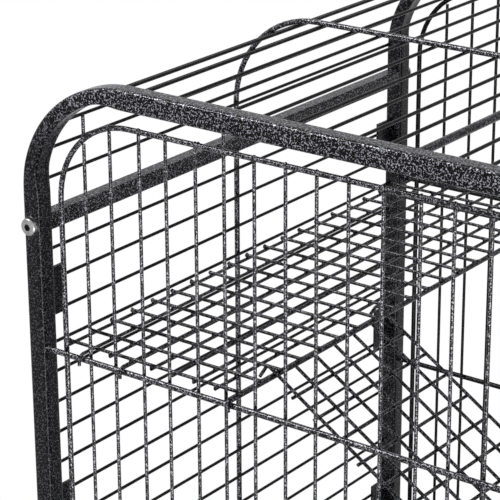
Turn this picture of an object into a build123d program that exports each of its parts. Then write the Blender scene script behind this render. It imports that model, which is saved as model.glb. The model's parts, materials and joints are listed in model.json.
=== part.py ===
from build123d import *
import math
import os

# Wire bird cage on a rolling stand: two bent tube arches carry wire panels, platforms, ramps,
# a sliding grille and tray, and four legs on swivel casters carry the arches.
# Millimetres, +Z up, front towards -Y, left towards -X, origin on the floor under the middle.

# ---- Driving dimensions ----

# Wire and rod diameters, and the spacing of the panel wires
WIRE = 2.6
ROD = 4.0
BRACE = 4.4
RIDGE = 6.0
PITCH = 25.4

# Frame tube and rails
CAGE_WIDTH = 600.0  # between the centres of the left and right posts
CAGE_DEPTH = 472.0  # between the centres of the front and rear posts
POST = 15.2
POST_WALL = 1.2
POST_CORNER = 2.2
BEND_R = 86.5
RAIL = 12.7
RAIL_WALL = 1.2
RAIL_CORNER = 1.8

# Heights
LEG_FOOT_Z = 78.0
STAND_RAIL_Z = 172.0
BASE_RAIL_Z = 544.6
ARCH_TOP_Z = 1282.3
ARCH_FOOT_DROP = 61.6  # from the base rail down to the arch's foot
TOP_RAIL_DROP = 109.0  # from the arch's top down to the top rail
TOP_STOREY = 204.3  # from the arch's top down to the top brace
BRACE_LEVELS = 3

# Wire panels
UPRIGHT_MARGIN = 46.0  # least distance from a post's centre to the first upright wire
FRAME_INSET = 22.3  # from the arch's centre line to the panel frame's centre line
FRAME_FOOT_R = 12.0
STUB_CELLS = (0, 5)  # uprights, from each side, that run on above the frame to the arch
SIDE_WIRE_OUT = 5.1  # side wires' distance outside the posts' centre plane
SIDE_WIRE_START = 20.1  # first side wire above the base rail's centre
ROOF_DROP = 5.7  # from the arch's top down to the roof wires
SHOULDER_TUCK = 11.0  # from the arch's bend radius down to the shoulder wires' radius
HOOP_Y = 11.5
HOOP_LAP = 10.0
TAB_THICK = 2.0
TAB_LENGTH = 20.0
TAB_HEIGHT = 38.0
TAB_RISE = 17.9

# How far each wire stands off its even place, counted from the left or from the foot
UPRIGHT_DRIFT = (
    0.2, -1.5, -0.6, -2.6, -2.2, -3.3, -3.4, -3.2, -3.6, -3.9, -2.6,
    0.2, -0.3, 1.4, 1.0, 0.2, -0.8, -1.6, -2.4, -3.0, -3.0,
)
ROOF_DRIFT = (
    0.0, 3.3, 5.5, 3.6, 3.5, 2.6, 4.2, 4.2, 4.6, 3.6, 0.0,
    4.2, 2.6, 2.5, 2.0, 2.0, 1.5, 1.0, 0.5, 0.0, 0.0,
)
SIDE_DRIFT = (
    0.0, 0.0, 0.0, 0.0, 0.0, 0.0, 0.0, 0.0, 0.0, 0.0, 0.3, 0.3, 0.5,
    0.3, 1.3, 2.0, 2.1, 2.0, 1.9, 1.5, 0.0, -0.4, -0.5, -1.7, 0.0, 2.3,
)

# Platforms and ramps
PLATFORM_PITCH = 19.2
PLATFORM_MEMBERS = 9
PLATFORM_THICK = (0,)  # members of the heavier rod, counted from the free edge
PLATFORM_HOOKED = (0, 5, 7)
PLATFORM_DEPTH = 176.6  # from the posts' centre plane to the free edge rod
PLATFORM_WIRE_PITCH = 24.0
PLATFORM_END_GAP = 1.9
PLATFORM_OVERHANG = 2.9
HOOK_LEG = 3.0
RAMP_WIRES = 7
RAMP_WIRE_PITCH = 24.2
RAMP_EDGE_PITCH = 21.0  # between each outer wire and its neighbour
RAMP_INSET_Y = 46.3  # from a panel's plane to the ramp's first wire
RAMP_START = 3.4  # from the hinge to the straight wires' tips
RUNG_PITCH = 22.2
RUNG_OVERHANG = 3.0
FIRST_RUNG = 21.5
RAMP_END = 3.6
RAMP_HOOK_REACH = 8.5  # from the edge rod's centre to the hook's leg
RAMP_HOOK_LEG = 12.5
RAMP_HOOK_BEND = 3.0
UPPER_RAMP_LAP = 24.0  # the last rung's distance past the lower platform's edge
LOWER_RAMP_RUN = 264.0

# Tray, grille and runners
RUNNER_GAUGE = 1.2
RUNNER_INSET = 3.0
RUNNER_FLANGE = 18.0
TRAY_SIDE_GAP = 2.4
TRAY_HEIGHT = 24.0
TRAY_WALL = 2.0
TRAY_HEADROOM = 3.3
TRAY_LIP_WIDTH = 120.0
TRAY_LIP_DEPTH = 14.0
TRAY_LIP_THICK = 4.0
GRILLE_HEADROOM = 10.0
GRILLE_PITCH = 19.0
GRILLE_CORNER = 10.0
GRILLE_BARS = 3

# Front door
DOOR_CELLS = 12  # panel wire spaces between the jambs
HEADER_DROP = 7.2  # the header's centre below the brace above it
DOOR_GAP = 2.0
DOOR_CORNER = 8.0
BRACE_SETBACK = 14.0  # from a jamb's centre to the interrupted brace's end
SLEEVE_WALL = 1.5
SLEEVE_HEIGHT = 14.0
SLEEVE_MARGIN = 30.0

# Latch
LATCH_RISE = 34.6  # above the first brace
LATCH_PLATE = 2.0
LATCH_PLATE_WIDTH = 36.0
LATCH_PLATE_HEIGHT = 30.0
LATCH_BOLT = 4.0
LATCH_BOLT_GAP = 2.2
LATCH_BOLT_TAIL = 6.0
LATCH_BOLT_TIP = 8.6
GUIDE_WIDTH = 5.0
GUIDE_HEIGHT = 10.0
GUIDE_LIP = 2.0
KNOB = 8.0
KNOB_LENGTH = 9.0
KNOB_STEM = 4.0
KEEPER_GAP = 3.0

# Fasteners
BOLT_SHANK = 6.0
BOLT_BITE = 15.0
BOLT_HEAD = 13.3
BOLT_HEAD_HEIGHT = 4.5
BOLT_HEAD_ROUND = 1.8
BOLT_SOCKET = 5.0
BOLT_SOCKET_DEPTH = 2.6
INSERT_LENGTH = 22.0
LEG_SLEEVE_REACH = 50.0
LEG_SLEEVE_WALL = 1.5

# Storage shelf
SHELF_BARS = 3
SHELF_OVERHANG = 6.0

# Casters
WHEEL = 50.0
WHEEL_WIDTH = 18.0
TYRE_ROUND = 3.0
HUB = 34.0
HUB_BOSS = 14.0
AXLE = 6.0
AXLE_HEAD = 10.0
AXLE_HEAD_LENGTH = 2.0
TRAIL = 22.0
FORK_GAP = 24.0  # between the fork's two arms
FORK_GAUGE = 2.5
FORK_CROWN = 3.0
FORK_FRONT = 9.0
FORK_BACK = 17.0
FORK_SHOULDER = 15.0
FORK_BOSS = 8.0
STEM = 8.0
STEM_LENGTH = 39.0
SOCKET_COLLAR = 22.0
SOCKET_COLLAR_HEIGHT = 8.7
SOCKET_PLUG = 40.0
SOCKET_BORE_SPARE = 4.0

# Brake pedals
PEDAL_PIVOT = 4.0
PEDAL_PIVOT_OUT = 9.0
PEDAL_PIVOT_DROP = 11.0
PEDAL_BARREL = 8.0
PEDAL_WIDTH = 22.0
PEDAL_THICK = 3.0
PEDAL_LENGTH = 37.0
PEDAL_REST_TILT = 3.0
PEDAL_PAD_START = 10.0
PEDAL_PAD_LENGTH = 12.0
PEDAL_PAD_THICK = 1.5

# Clearances
RUN_CLEAR = 0.08  # radial, round a turning or sliding rod
FIT_CLEAR = 0.1  # per side, between a plug and its tube
BOLT_CLEAR = 0.05
REST_GAP = 0.3
HOOK_CLEAR = 0.05
GAP_CLEAR = 0.3  # between a rod and the wires that it passes
TYRE_FIT = 0.02

# ---- Derived places ----

HALF_W = CAGE_WIDTH / 2
HALF_D = CAGE_DEPTH / 2
POST_IN_X = HALF_W - POST / 2
POST_IN_Y = HALF_D - POST / 2
POST_OUT_Y = HALF_D + POST / 2

CELLS = int((CAGE_WIDTH - 2 * UPRIGHT_MARGIN) / PITCH)
EVEN_X = [(k - CELLS / 2) * PITCH for k in range(CELLS + 1)]
UPRIGHT_X = [x + UPRIGHT_DRIFT[k % len(UPRIGHT_DRIFT)] for k, x in enumerate(EVEN_X)]
REAR_X = [-x for x in reversed(UPRIGHT_X)]  # the rear panel is the front's kind, turned round
ROOF_X = [x + ROOF_DRIFT[k % len(ROOF_DRIFT)] for k, x in enumerate(EVEN_X)]

ARCH_FOOT_Z = BASE_RAIL_Z - ARCH_FOOT_DROP
TOP_RAIL_Z = ARCH_TOP_Z - TOP_RAIL_DROP
STOREY = (ARCH_TOP_Z - TOP_STOREY - BASE_RAIL_Z) / BRACE_LEVELS
BRACE_Z = [BASE_RAIL_Z + STOREY * level for level in range(1, BRACE_LEVELS + 1)]
FRAME_Y = HALF_D + WIRE / 2 - ROD / 2  # the frame rod's face is level with the wires' faces
BRACE_Y = HALF_D + WIRE / 2 + BRACE / 2
FRAME_HALF_W = HALF_W - FRAME_INSET
FRAME_TOP_Z = ARCH_TOP_Z - FRAME_INSET
FRAME_R = BEND_R - FRAME_INSET
BEND_X = HALF_W - BEND_R
BEND_Z = ARCH_TOP_Z - BEND_R

SIDE_X = HALF_W + SIDE_WIRE_OUT
ROOF_Z = ARCH_TOP_Z - ROOF_DROP
SHOULDER_R = BEND_R - SHOULDER_TUCK
SHOULDER_X = SIDE_X - SHOULDER_R
SHOULDER_Z = ROOF_Z - SHOULDER_R
HOOP_R = SHOULDER_R + WIRE / 2 + BRACE / 2

BASE_RAIL_TOP = BASE_RAIL_Z + RAIL / 2
TRAY_Z = BASE_RAIL_TOP + RUNNER_GAUGE + REST_GAP
RUNNER_TOP = TRAY_Z + TRAY_HEIGHT + TRAY_HEADROOM + RUNNER_GAUGE
GRILLE_Z = RUNNER_TOP + REST_GAP + ROD / 2
GRILLE_WIRE_Z = GRILLE_Z + ROD / 2 + WIRE / 2
GRILLE_TOP = GRILLE_WIRE_Z + WIRE / 2
FRONT_FOOT_Z = GRILLE_TOP + GRILLE_HEADROOM + ROD / 2
REAR_FOOT_Z = BASE_RAIL_TOP + ROD / 2

JAMB_X = DOOR_CELLS * PITCH / 2
HEADER_Z = BRACE_Z[1] - HEADER_DROP
SLEEVE_R = ROD / 2 + RUN_CLEAR + SLEEVE_WALL
LEAF_LEFT = -JAMB_X + SLEEVE_R + ROD / 2
LEAF_RIGHT = JAMB_X - ROD - DOOR_GAP
LEAF_FOOT = FRONT_FOOT_Z + ROD + DOOR_GAP
LEAF_TOP = HEADER_Z - ROD - DOOR_GAP
PANEL_FACE = HALF_D + WIRE / 2

LATCH_Z = BRACE_Z[0] + LATCH_RISE
PLATE_FACE = PANEL_FACE + LATCH_PLATE
LATCH_Y = PLATE_FACE + LATCH_BOLT_GAP + LATCH_BOLT / 2
GUIDE_FACE = LATCH_Y + LATCH_BOLT / 2 + GUIDE_LIP
LATCH_RIGHT = LEAF_RIGHT + ROD / 2
LATCH_LEFT = LATCH_RIGHT - LATCH_PLATE_WIDTH
KEEPER_X = LATCH_RIGHT + LATCH_BOLT_TIP + KEEPER_GAP

STEM_TOP = LEG_FOOT_Z - SOCKET_COLLAR_HEIGHT - REST_GAP
AXLE_Z = WHEEL / 2

CORNERS = {
    "front_left": (-1, -1),
    "front_right": (1, -1),
    "rear_left": (-1, 1),
    "rear_right": (1, 1),
}


# ---- Shapes ----


def rod(start, end, diameter):
    """A straight round rod between two points."""
    run = Vector(end) - Vector(start)
    return Solid.make_cylinder(diameter / 2, run.length, Plane(origin=start, z_dir=run))


def bent_rod(path, diameter):
    """A round rod along a wire of lines and tangent arcs."""
    section = Plane(origin=path @ 0, z_dir=path % 0) * Circle(diameter / 2)
    return sweep(section, path=path).solid()


def loop_path(left, right, foot, top, foot_r, top_r):
    """A closed upright rectangle in the XZ plane with rounded corners, as a wire."""
    d = foot_r * (1 - math.sqrt(0.5))
    e = top_r * (1 - math.sqrt(0.5))
    low = foot + foot_r
    high = top - top_r
    edges = [
        Line((left, 0, low), (left, 0, high)),
        ThreePointArc((left, 0, high), (left + e, 0, top - e), (left + top_r, 0, top)),
        Line((left + top_r, 0, top), (right - top_r, 0, top)),
        ThreePointArc((right - top_r, 0, top), (right - e, 0, top - e), (right, 0, high)),
        Line((right, 0, high), (right, 0, low)),
        ThreePointArc((right, 0, low), (right - d, 0, foot + d), (right - foot_r, 0, foot)),
        Line((right - foot_r, 0, foot), (left + foot_r, 0, foot)),
        ThreePointArc((left + foot_r, 0, foot), (left + d, 0, foot + d), (left, 0, low)),
    ]
    return Wire(edges)


def arch_path(half_width, foot, top, radius, y):
    """An inverted U in a plane of constant Y, as an open wire from the left foot."""
    inner = radius * (1 - math.sqrt(0.5))
    left = [
        Line((-half_width, y, foot), (-half_width, y, top - radius)),
        ThreePointArc(
            (-half_width, y, top - radius),
            (-half_width + inner, y, top - inner),
            (-half_width + radius, y, top),
        ),
    ]
    crown = Line((-half_width + radius, y, top), (half_width - radius, y, top))
    right = [
        ThreePointArc(
            (half_width - radius, y, top),
            (half_width - inner, y, top - inner),
            (half_width, y, top - radius),
        ),
        Line((half_width, y, top - radius), (half_width, y, foot)),
    ]
    return Wire([*left, crown, *right])


def square_section(side, corner, wall):
    """The section of a square tube with rounded corners."""
    return RectangleRounded(side, side, corner) - RectangleRounded(
        side - 2 * wall, side - 2 * wall, max(corner - wall, corner / 4)
    )


def tube(start, end, side, corner, wall):
    """A straight square tube, its faces level with the axes."""
    run = Vector(end) - Vector(start)
    across = (0, 1, 0) if abs(run.X) > abs(run.Y) + abs(run.Z) else (1, 0, 0)
    section = Plane(origin=start, x_dir=across, z_dir=run) * square_section(side, corner, wall)
    return extrude(section, amount=run.length).solid()


def plug(start, end, side, corner):
    """A straight square bar with rounded edges."""
    run = Vector(end) - Vector(start)
    section = Plane(origin=start, x_dir=(1, 0, 0), z_dir=run) * RectangleRounded(side, side, corner)
    return extrude(section, amount=run.length).solid()


def box(low, high):
    """A box between two corners."""
    size = Vector(high) - Vector(low)
    middle = (Vector(low) + Vector(high)) / 2
    return (Pos(middle.X, middle.Y, middle.Z) * Box(size.X, size.Y, size.Z)).solid()


def in_gap(place, lines, clearance):
    """Moves a place as little as it takes to be clear of every line."""
    near = min(lines, key=lambda line: abs(line - place))
    if abs(near - place) >= clearance:
        return place
    side = 1 if place >= near else -1
    return near + side * clearance


# ---- Frame ----


def arch(y):
    """One bent tube arch with its bolt holes for the rails' ends."""
    path = arch_path(HALF_W, ARCH_FOOT_Z, ARCH_TOP_Z, BEND_R, y)
    section = Plane(origin=path @ 0, x_dir=(1, 0, 0), z_dir=path % 0) * square_section(
        POST, POST_CORNER, POST_WALL
    )
    body = sweep(section, path=path)
    for x in (-HALF_W, HALF_W):
        for z in (BASE_RAIL_Z, TOP_RAIL_Z):
            body -= rod((x, y - POST, z), (x, y + POST, z), BOLT_SHANK + 2 * FIT_CLEAR)
    return body.solid()


def leg(x, y):
    """One leg tube with its bolt hole for the stand rail's end."""
    body = tube((x, y, LEG_FOOT_Z), (x, y, ARCH_FOOT_Z), POST, POST_CORNER, POST_WALL)
    body -= rod((x, y - POST, STAND_RAIL_Z), (x, y + POST, STAND_RAIL_Z), BOLT_SHANK + 2 * FIT_CLEAR)
    return body.solid()


def side_rail(x, z):
    """A bolted rail from the front post to the rear post."""
    return tube((x, -POST_IN_Y, z), (x, POST_IN_Y, z), RAIL, RAIL_CORNER, RAIL_WALL)


def cross_rail(y, z):
    """A welded rail from the left post to the right post."""
    return tube((-POST_IN_X, y, z), (POST_IN_X, y, z), RAIL, RAIL_CORNER, RAIL_WALL)


def bolted_ends():
    """The centre and outward direction of each bolted side rail end."""
    return [
        (x, side, z)
        for z in (STAND_RAIL_Z, BASE_RAIL_Z, TOP_RAIL_Z)
        for x in (-HALF_W, HALF_W)
        for side in (-1, 1)
    ]


def rail_insert(x, side, z):
    """The threaded plug in one end of a side rail."""
    bar = plug(
        (x, side * POST_IN_Y, z),
        (x, side * (POST_IN_Y - INSERT_LENGTH), z),
        RAIL - 2 * RAIL_WALL - 2 * FIT_CLEAR,
        RAIL_CORNER / 2,
    )
    bore = rod((x, side * POST_OUT_Y, z), (x, 0, z), BOLT_SHANK + 2 * BOLT_CLEAR)
    return (bar - bore).solid()


def frame_bolt(x, side, z):
    """A button head bolt with a hex socket, seated on a post's outer face."""
    seat = Plane(origin=(x, side * POST_OUT_Y, z), x_dir=(1, 0, 0), z_dir=(0, side, 0))
    head = extrude(Circle(BOLT_HEAD / 2), amount=BOLT_HEAD_HEIGHT)
    head = fillet(head.edges().group_by(Axis.Z)[-1], BOLT_HEAD_ROUND)
    key = RegularPolygon(BOLT_SOCKET / 2, 6, major_radius=False)
    head -= Pos(0, 0, BOLT_HEAD_HEIGHT - BOLT_SOCKET_DEPTH) * extrude(key, amount=BOLT_HEAD_HEIGHT)
    shank = extrude(Circle(BOLT_SHANK / 2), amount=-(POST + BOLT_BITE))
    return (seat * (head + shank)).solid()


def leg_sleeve(x, y):
    """The inner tube that joins a leg to the arch above it."""
    side = POST - 2 * POST_WALL - 2 * FIT_CLEAR
    return tube(
        (x, y, ARCH_FOOT_Z - LEG_SLEEVE_REACH),
        (x, y, ARCH_FOOT_Z + LEG_SLEEVE_REACH),
        side,
        POST_CORNER - POST_WALL,
        LEG_SLEEVE_WALL,
    )


# ---- Wire panels ----


def frame_span(x, radius):
    """How far above the bend centres a circle of that radius stands over x."""
    out = abs(x) - BEND_X
    return math.sqrt(radius**2 - out**2) if out > 0 else radius


def upright_top(x):
    """Where an upright wire ends under the panel frame's top run or corner."""
    return BEND_Z + frame_span(abs(x) + WIRE / 2, FRAME_R - ROD / 2)


def stubs(uprights, y):
    """Short wires from the panel frame to the arch."""
    solids = []
    for k in STUB_CELLS:
        for x in (uprights[k], uprights[-1 - k]):
            low = BEND_Z + frame_span(abs(x) - WIRE / 2, FRAME_R + ROD / 2)
            high = BEND_Z + frame_span(abs(x) + WIRE / 2, BEND_R - POST / 2)
            solids.append(rod((x, y, low), (x, y, high), WIRE))
    return solids


def panel_frame(side, foot):
    """The bent rod round a front or rear panel."""
    path = loop_path(-FRAME_HALF_W, FRAME_HALF_W, foot, FRAME_TOP_Z, FRAME_FOOT_R, FRAME_R)
    return bent_rod(Pos(0, side * FRAME_Y, 0) * path, ROD)


def front_panel():
    """Front panel: frame, uprights round the doorway, jambs, header and braces."""
    solids = [panel_frame(-1, FRONT_FOOT_Z)]
    foot = FRONT_FOOT_Z + ROD / 2
    for x in UPRIGHT_X:
        low = HEADER_Z + ROD / 2 if abs(x) <= JAMB_X + WIRE else foot
        solids.append(rod((x, -HALF_D, low), (x, -HALF_D, upright_top(x)), WIRE))
    solids += stubs(UPRIGHT_X, -HALF_D)
    for x in (-JAMB_X, JAMB_X):
        solids.append(rod((x, -FRAME_Y, foot), (x, -FRAME_Y, HEADER_Z - ROD / 2), ROD))
    reach = JAMB_X + ROD
    solids.append(rod((-reach, -FRAME_Y, HEADER_Z), (reach, -FRAME_Y, HEADER_Z), ROD))
    for side in (-1, 1):
        inner = side * (JAMB_X + BRACE_SETBACK)
        solids.append(rod((side * POST_IN_X, -BRACE_Y, BRACE_Z[0]), (inner, -BRACE_Y, BRACE_Z[0]), BRACE))
    for z in BRACE_Z[1:]:
        solids.append(rod((-POST_IN_X, -BRACE_Y, z), (POST_IN_X, -BRACE_Y, z), BRACE))
    return solids


def rear_panel():
    """Rear panel: frame, uprights and braces, standing on the rear base rail."""
    solids = [panel_frame(1, REAR_FOOT_Z)]
    for x in REAR_X:
        solids.append(rod((x, HALF_D, REAR_FOOT_Z + ROD / 2), (x, HALF_D, upright_top(x)), WIRE))
    solids += stubs(REAR_X, HALF_D)
    for z in BRACE_Z:
        solids.append(rod((-POST_IN_X, BRACE_Y, z), (POST_IN_X, BRACE_Y, z), BRACE))
    return solids


def long_wire(x, z, diameter):
    """A wire or rod from the front arch to the rear arch."""
    return rod((x, -POST_IN_Y, z), (x, POST_IN_Y, z), diameter)


def side_panel(side):
    """Level wires from arch to arch, leaving out the one that the top rail replaces."""
    solids = []
    low = BASE_RAIL_Z + SIDE_WIRE_START
    for i in range(math.ceil((SHOULDER_Z - low) / PITCH)):
        z = low + PITCH * i
        if abs(z - TOP_RAIL_Z) > (RAIL + WIRE) / 2:
            z += SIDE_DRIFT[i % len(SIDE_DRIFT)]
            solids.append(long_wire(side * SIDE_X, z, WIRE))
    return solids


def roof_panel():
    """Level wires over both shoulders and the roof, leaving out the ridge."""
    solids = []
    step = PITCH / SHOULDER_R
    for side in (-1, 1):
        for i in range(1, int(math.pi / 2 / step) + 1):
            x = SHOULDER_X + SHOULDER_R * math.cos(i * step)
            solids.append(long_wire(side * x, SHOULDER_Z + SHOULDER_R * math.sin(i * step), WIRE))
    for even, x in zip(EVEN_X, ROOF_X):
        if PITCH / 2 < abs(even) <= SHOULDER_X:
            solids.append(long_wire(x, ROOF_Z, WIRE))
    return solids


def panel_tabs():
    """Plates at the posts, inside the side wires, above each brace."""
    solids = []
    inner = SIDE_X - WIRE / 2 - TAB_THICK
    for z in BRACE_Z:
        for x in (-1, 1):
            for y in (-1, 1):
                low = (x * inner, y * (POST_IN_Y - TAB_LENGTH), z + TAB_RISE)
                high = (x * (inner + TAB_THICK), y * POST_IN_Y, z + TAB_RISE + TAB_HEIGHT)
                near = [min(a, b) for a, b in zip(low, high)]
                far = [max(a, b) for a, b in zip(low, high)]
                solids.append(box(near, far))
    return solids


def middle_hoop():
    """A bent rod over the roof and down both sides, outside the wires."""
    half_width = SHOULDER_X + HOOP_R
    foot = BASE_RAIL_TOP - HOOP_LAP
    return bent_rod(arch_path(half_width, foot, SHOULDER_Z + HOOP_R, HOOP_R, HOOP_Y), BRACE)


# ---- Platforms and ramps ----


def platform_wires_y():
    """The Y of each cross wire of a platform."""
    end = HALF_D - WIRE - PLATFORM_END_GAP
    count = int(2 * end / PLATFORM_WIRE_PITCH)
    return [-end + PLATFORM_WIRE_PITCH * i for i in range(count + 1)]


def between_uprights(x):
    """Moves a rod that passes through both panels clear of their uprights."""
    return in_gap(x, [abs(upright) for upright in UPRIGHT_X], (WIRE + ROD) / 2 + GAP_CLEAR)


def edge_rod_x():
    """The distance of a platform's free edge rod from the cage's middle plane."""
    return between_uprights(HALF_W - PLATFORM_DEPTH)


def member_z(level):
    """The height of a platform's heavier members, which rest on the braces."""
    return BRACE_Z[level] + BRACE / 2 + HOOK_CLEAR + ROD / 2


def hooked_member(x, level, diameter):
    """A platform rod that passes through both panels and bends down over their braces."""
    z = member_z(level) + (ROD - diameter) / 2
    radius = z - BRACE_Z[level]
    inner = radius * math.sqrt(0.5)
    out = BRACE_Y + radius
    foot = BRACE_Z[level] - HOOK_LEG
    path = Wire([
        Line((x, -out, foot), (x, -out, BRACE_Z[level])),
        ThreePointArc(
            (x, -out, BRACE_Z[level]),
            (x, -BRACE_Y - inner, BRACE_Z[level] + inner),
            (x, -BRACE_Y, z),
        ),
        Line((x, -BRACE_Y, z), (x, BRACE_Y, z)),
        ThreePointArc(
            (x, BRACE_Y, z),
            (x, BRACE_Y + inner, BRACE_Z[level] + inner),
            (x, out, BRACE_Z[level]),
        ),
        Line((x, out, BRACE_Z[level]), (x, out, foot)),
    ])
    return bent_rod(path, diameter)


def platform(side, level):
    """A wire shelf along one side of the cage, hooked over the braces at a level."""
    z = member_z(level)
    wires_y = platform_wires_y()
    solids = []
    for i in range(PLATFORM_MEMBERS):
        x = edge_rod_x() + PLATFORM_PITCH * i
        diameter = ROD if i in PLATFORM_THICK else WIRE
        if i in PLATFORM_HOOKED:
            solids.append(hooked_member(side * between_uprights(x), level, diameter))
            continue
        height = z + (ROD - diameter) / 2
        front = wires_y[0] - WIRE / 2
        rear = wires_y[-1] + WIRE / 2
        solids.append(rod((side * x, front, height), (side * x, rear, height), diameter))
    inner = edge_rod_x() - PLATFORM_OVERHANG
    outer = edge_rod_x() + PLATFORM_PITCH * (PLATFORM_MEMBERS - 1) + WIRE / 2
    height = z + ROD / 2 + WIRE / 2
    for y in wires_y:
        solids.append(rod((side * inner, y, height), (side * outer, y, height), WIRE))
    return solids


def ramp_wires_y(first_y):
    """The Y of each long wire of a ramp."""
    second = first_y + RAMP_EDGE_PITCH
    inner = [second + RAMP_WIRE_PITCH * i for i in range(RAMP_WIRES - 2)]
    return [first_y, *inner, inner[-1] + RAMP_EDGE_PITCH]


def ramp(hinge_x, hinge_z, direction, run, drop, first_y):
    """A wire ramp that hooks over a platform's edge rod and comes down in one direction.

    run and drop lead from the hinge to the last rung's centre, and first_y is the first wire's Y.
    """
    hook_r = ROD / 2 + RUN_CLEAR + WIRE / 2
    rung_v = hook_r - WIRE
    reach = math.hypot(run, drop)
    slope = math.atan2(drop, run) + math.asin(rung_v / reach)
    last = math.sqrt(reach**2 - rung_v**2)

    def place(u, v, y):
        x = hinge_x + direction * (u * math.cos(slope) + v * math.sin(slope))
        return (x, y, hinge_z - u * math.sin(slope) + v * math.cos(slope))

    wires_y = ramp_wires_y(first_y)
    crossing = platform_wires_y()
    solids = []
    for i, y in enumerate(wires_y):
        if 0 < i < RAMP_WIRES - 1:
            tips = (place(RAMP_START, hook_r, y), place(last + RAMP_END, hook_r, y))
            solids.append(rod(*tips, WIRE))
            continue
        hook_y = in_gap(y, crossing, WIRE + GAP_CLEAR)
        turn = RAMP_HOOK_BEND - RAMP_HOOK_REACH
        inner = RAMP_HOOK_BEND * math.sqrt(0.5)
        low_v = hook_r - RAMP_HOOK_BEND
        path = Wire([
            Line(place(last + RAMP_END, hook_r, hook_y), place(turn, hook_r, hook_y)),
            ThreePointArc(
                place(turn, hook_r, hook_y),
                place(turn - inner, low_v + inner, hook_y),
                place(-RAMP_HOOK_REACH, low_v, hook_y),
            ),
            Line(
                place(-RAMP_HOOK_REACH, low_v, hook_y),
                place(-RAMP_HOOK_REACH, hook_r - RAMP_HOOK_LEG, hook_y),
            ),
        ])
        solids.append(bent_rod(path, WIRE))
    low = wires_y[0] - RUNG_OVERHANG
    high = wires_y[-1] + RUNG_OVERHANG
    count = int((last - FIRST_RUNG - 3 * WIRE) / RUNG_PITCH)
    for u in [*(FIRST_RUNG + RUNG_PITCH * i for i in range(count + 1)), last]:
        solids.append(rod(place(u, rung_v, low), place(u, rung_v, high), WIRE))
    return solids


def upper_ramp():
    """From the upper platform's edge down to the top of the lower platform."""
    landing = member_z(1) + ROD / 2 + WIRE + REST_GAP + WIRE / 2
    run = 2 * edge_rod_x() + UPPER_RAMP_LAP
    first_y = -HALF_D + RAMP_INSET_Y
    return ramp(-edge_rod_x(), member_z(2), 1, run, member_z(2) - landing, first_y)


def lower_ramp():
    """From the lower platform's edge down to the floor grille."""
    landing = GRILLE_TOP + REST_GAP + WIRE / 2
    first_y = -ramp_wires_y(-HALF_D + RAMP_INSET_Y)[-1]
    return ramp(edge_rod_x(), member_z(1), -1, LOWER_RAMP_RUN, member_z(1) - landing, first_y)


# ---- Tray and grille ----


def runner(side):
    """A channel on a side base rail: the tray slides inside it and the grille on top."""
    outer = HALF_W - RUNNER_INSET
    inner = outer - RUNNER_FLANGE
    profile = Polyline(
        (inner, BASE_RAIL_TOP),
        (outer, BASE_RAIL_TOP),
        (outer, RUNNER_TOP),
        (inner, RUNNER_TOP),
        (inner, RUNNER_TOP - RUNNER_GAUGE),
        (outer - RUNNER_GAUGE, RUNNER_TOP - RUNNER_GAUGE),
        (outer - RUNNER_GAUGE, BASE_RAIL_TOP + RUNNER_GAUGE),
        (inner, BASE_RAIL_TOP + RUNNER_GAUGE),
        close=True,
    )
    plane = Plane(origin=(0, POST_IN_Y, 0), x_dir=(1, 0, 0), z_dir=(0, -1, 0))
    body = extrude(plane * make_face(profile), amount=2 * POST_IN_Y)
    return body.solid() if side > 0 else mirror(body, Plane.YZ).solid()


def litter_tray():
    """An open tray with a pull lip, between the front and rear posts."""
    half = POST_IN_X - TRAY_SIDE_GAP
    front = -POST_OUT_Y
    rear = FRAME_Y - ROD / 2 - REST_GAP
    top = TRAY_Z + TRAY_HEIGHT
    shell = box((-half, front, TRAY_Z), (half, rear, top))
    inside = box(
        (-half + TRAY_WALL, front + TRAY_WALL, TRAY_Z + TRAY_WALL),
        (half - TRAY_WALL, rear - TRAY_WALL, top + TRAY_WALL),
    )
    lip_low = TRAY_Z + TRAY_HEIGHT / 2
    lip = box(
        (-TRAY_LIP_WIDTH / 2, front - TRAY_LIP_DEPTH, lip_low),
        (TRAY_LIP_WIDTH / 2, front + TRAY_WALL / 2, lip_low + TRAY_LIP_THICK),
    )
    return (shell - inside + lip).solid()


def floor_grille():
    """A rod frame with close wires on top, sliding over the tray."""
    half = POST_IN_X - TRAY_SIDE_GAP - ROD / 2
    end = FRAME_Y - ROD - REST_GAP
    outline = RectangleRounded(2 * half, 2 * end, GRILLE_CORNER).wire()
    solids = [bent_rod(Pos(0, 0, GRILLE_Z) * outline, ROD)]
    count = int((2 * half - 2 * GRILLE_CORNER) / GRILLE_PITCH)
    for i in range(count + 1):
        x = (i - count / 2) * GRILLE_PITCH
        solids.append(rod((x, -end - ROD / 2, GRILLE_WIRE_Z), (x, end + ROD / 2, GRILLE_WIRE_Z), WIRE))
    for i in range(1, GRILLE_BARS + 1):
        y = -end + 2 * end * i / (GRILLE_BARS + 1)
        inner = half - ROD / 2
        solids.append(rod((-inner, y, GRILLE_Z), (inner, y, GRILLE_Z), ROD))
    return solids


# ---- Front door and latch ----


def front_door():
    """The door leaf: a bent rod frame, uprights and one brace."""
    path = loop_path(LEAF_LEFT, LEAF_RIGHT, LEAF_FOOT, LEAF_TOP, DOOR_CORNER, DOOR_CORNER)
    solids = [bent_rod(Pos(0, -FRAME_Y, 0) * path, ROD)]
    for x in UPRIGHT_X:
        if LEAF_LEFT + DOOR_CORNER < x < LEAF_RIGHT - DOOR_CORNER:
            low = (x, -HALF_D, LEAF_FOOT + ROD / 2)
            solids.append(rod(low, (x, -HALF_D, LEAF_TOP - ROD / 2), WIRE))
    z = BRACE_Z[0]
    solids.append(rod((LEAF_LEFT, -BRACE_Y, z), (LEAF_RIGHT, -BRACE_Y, z), BRACE))
    return solids


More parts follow.
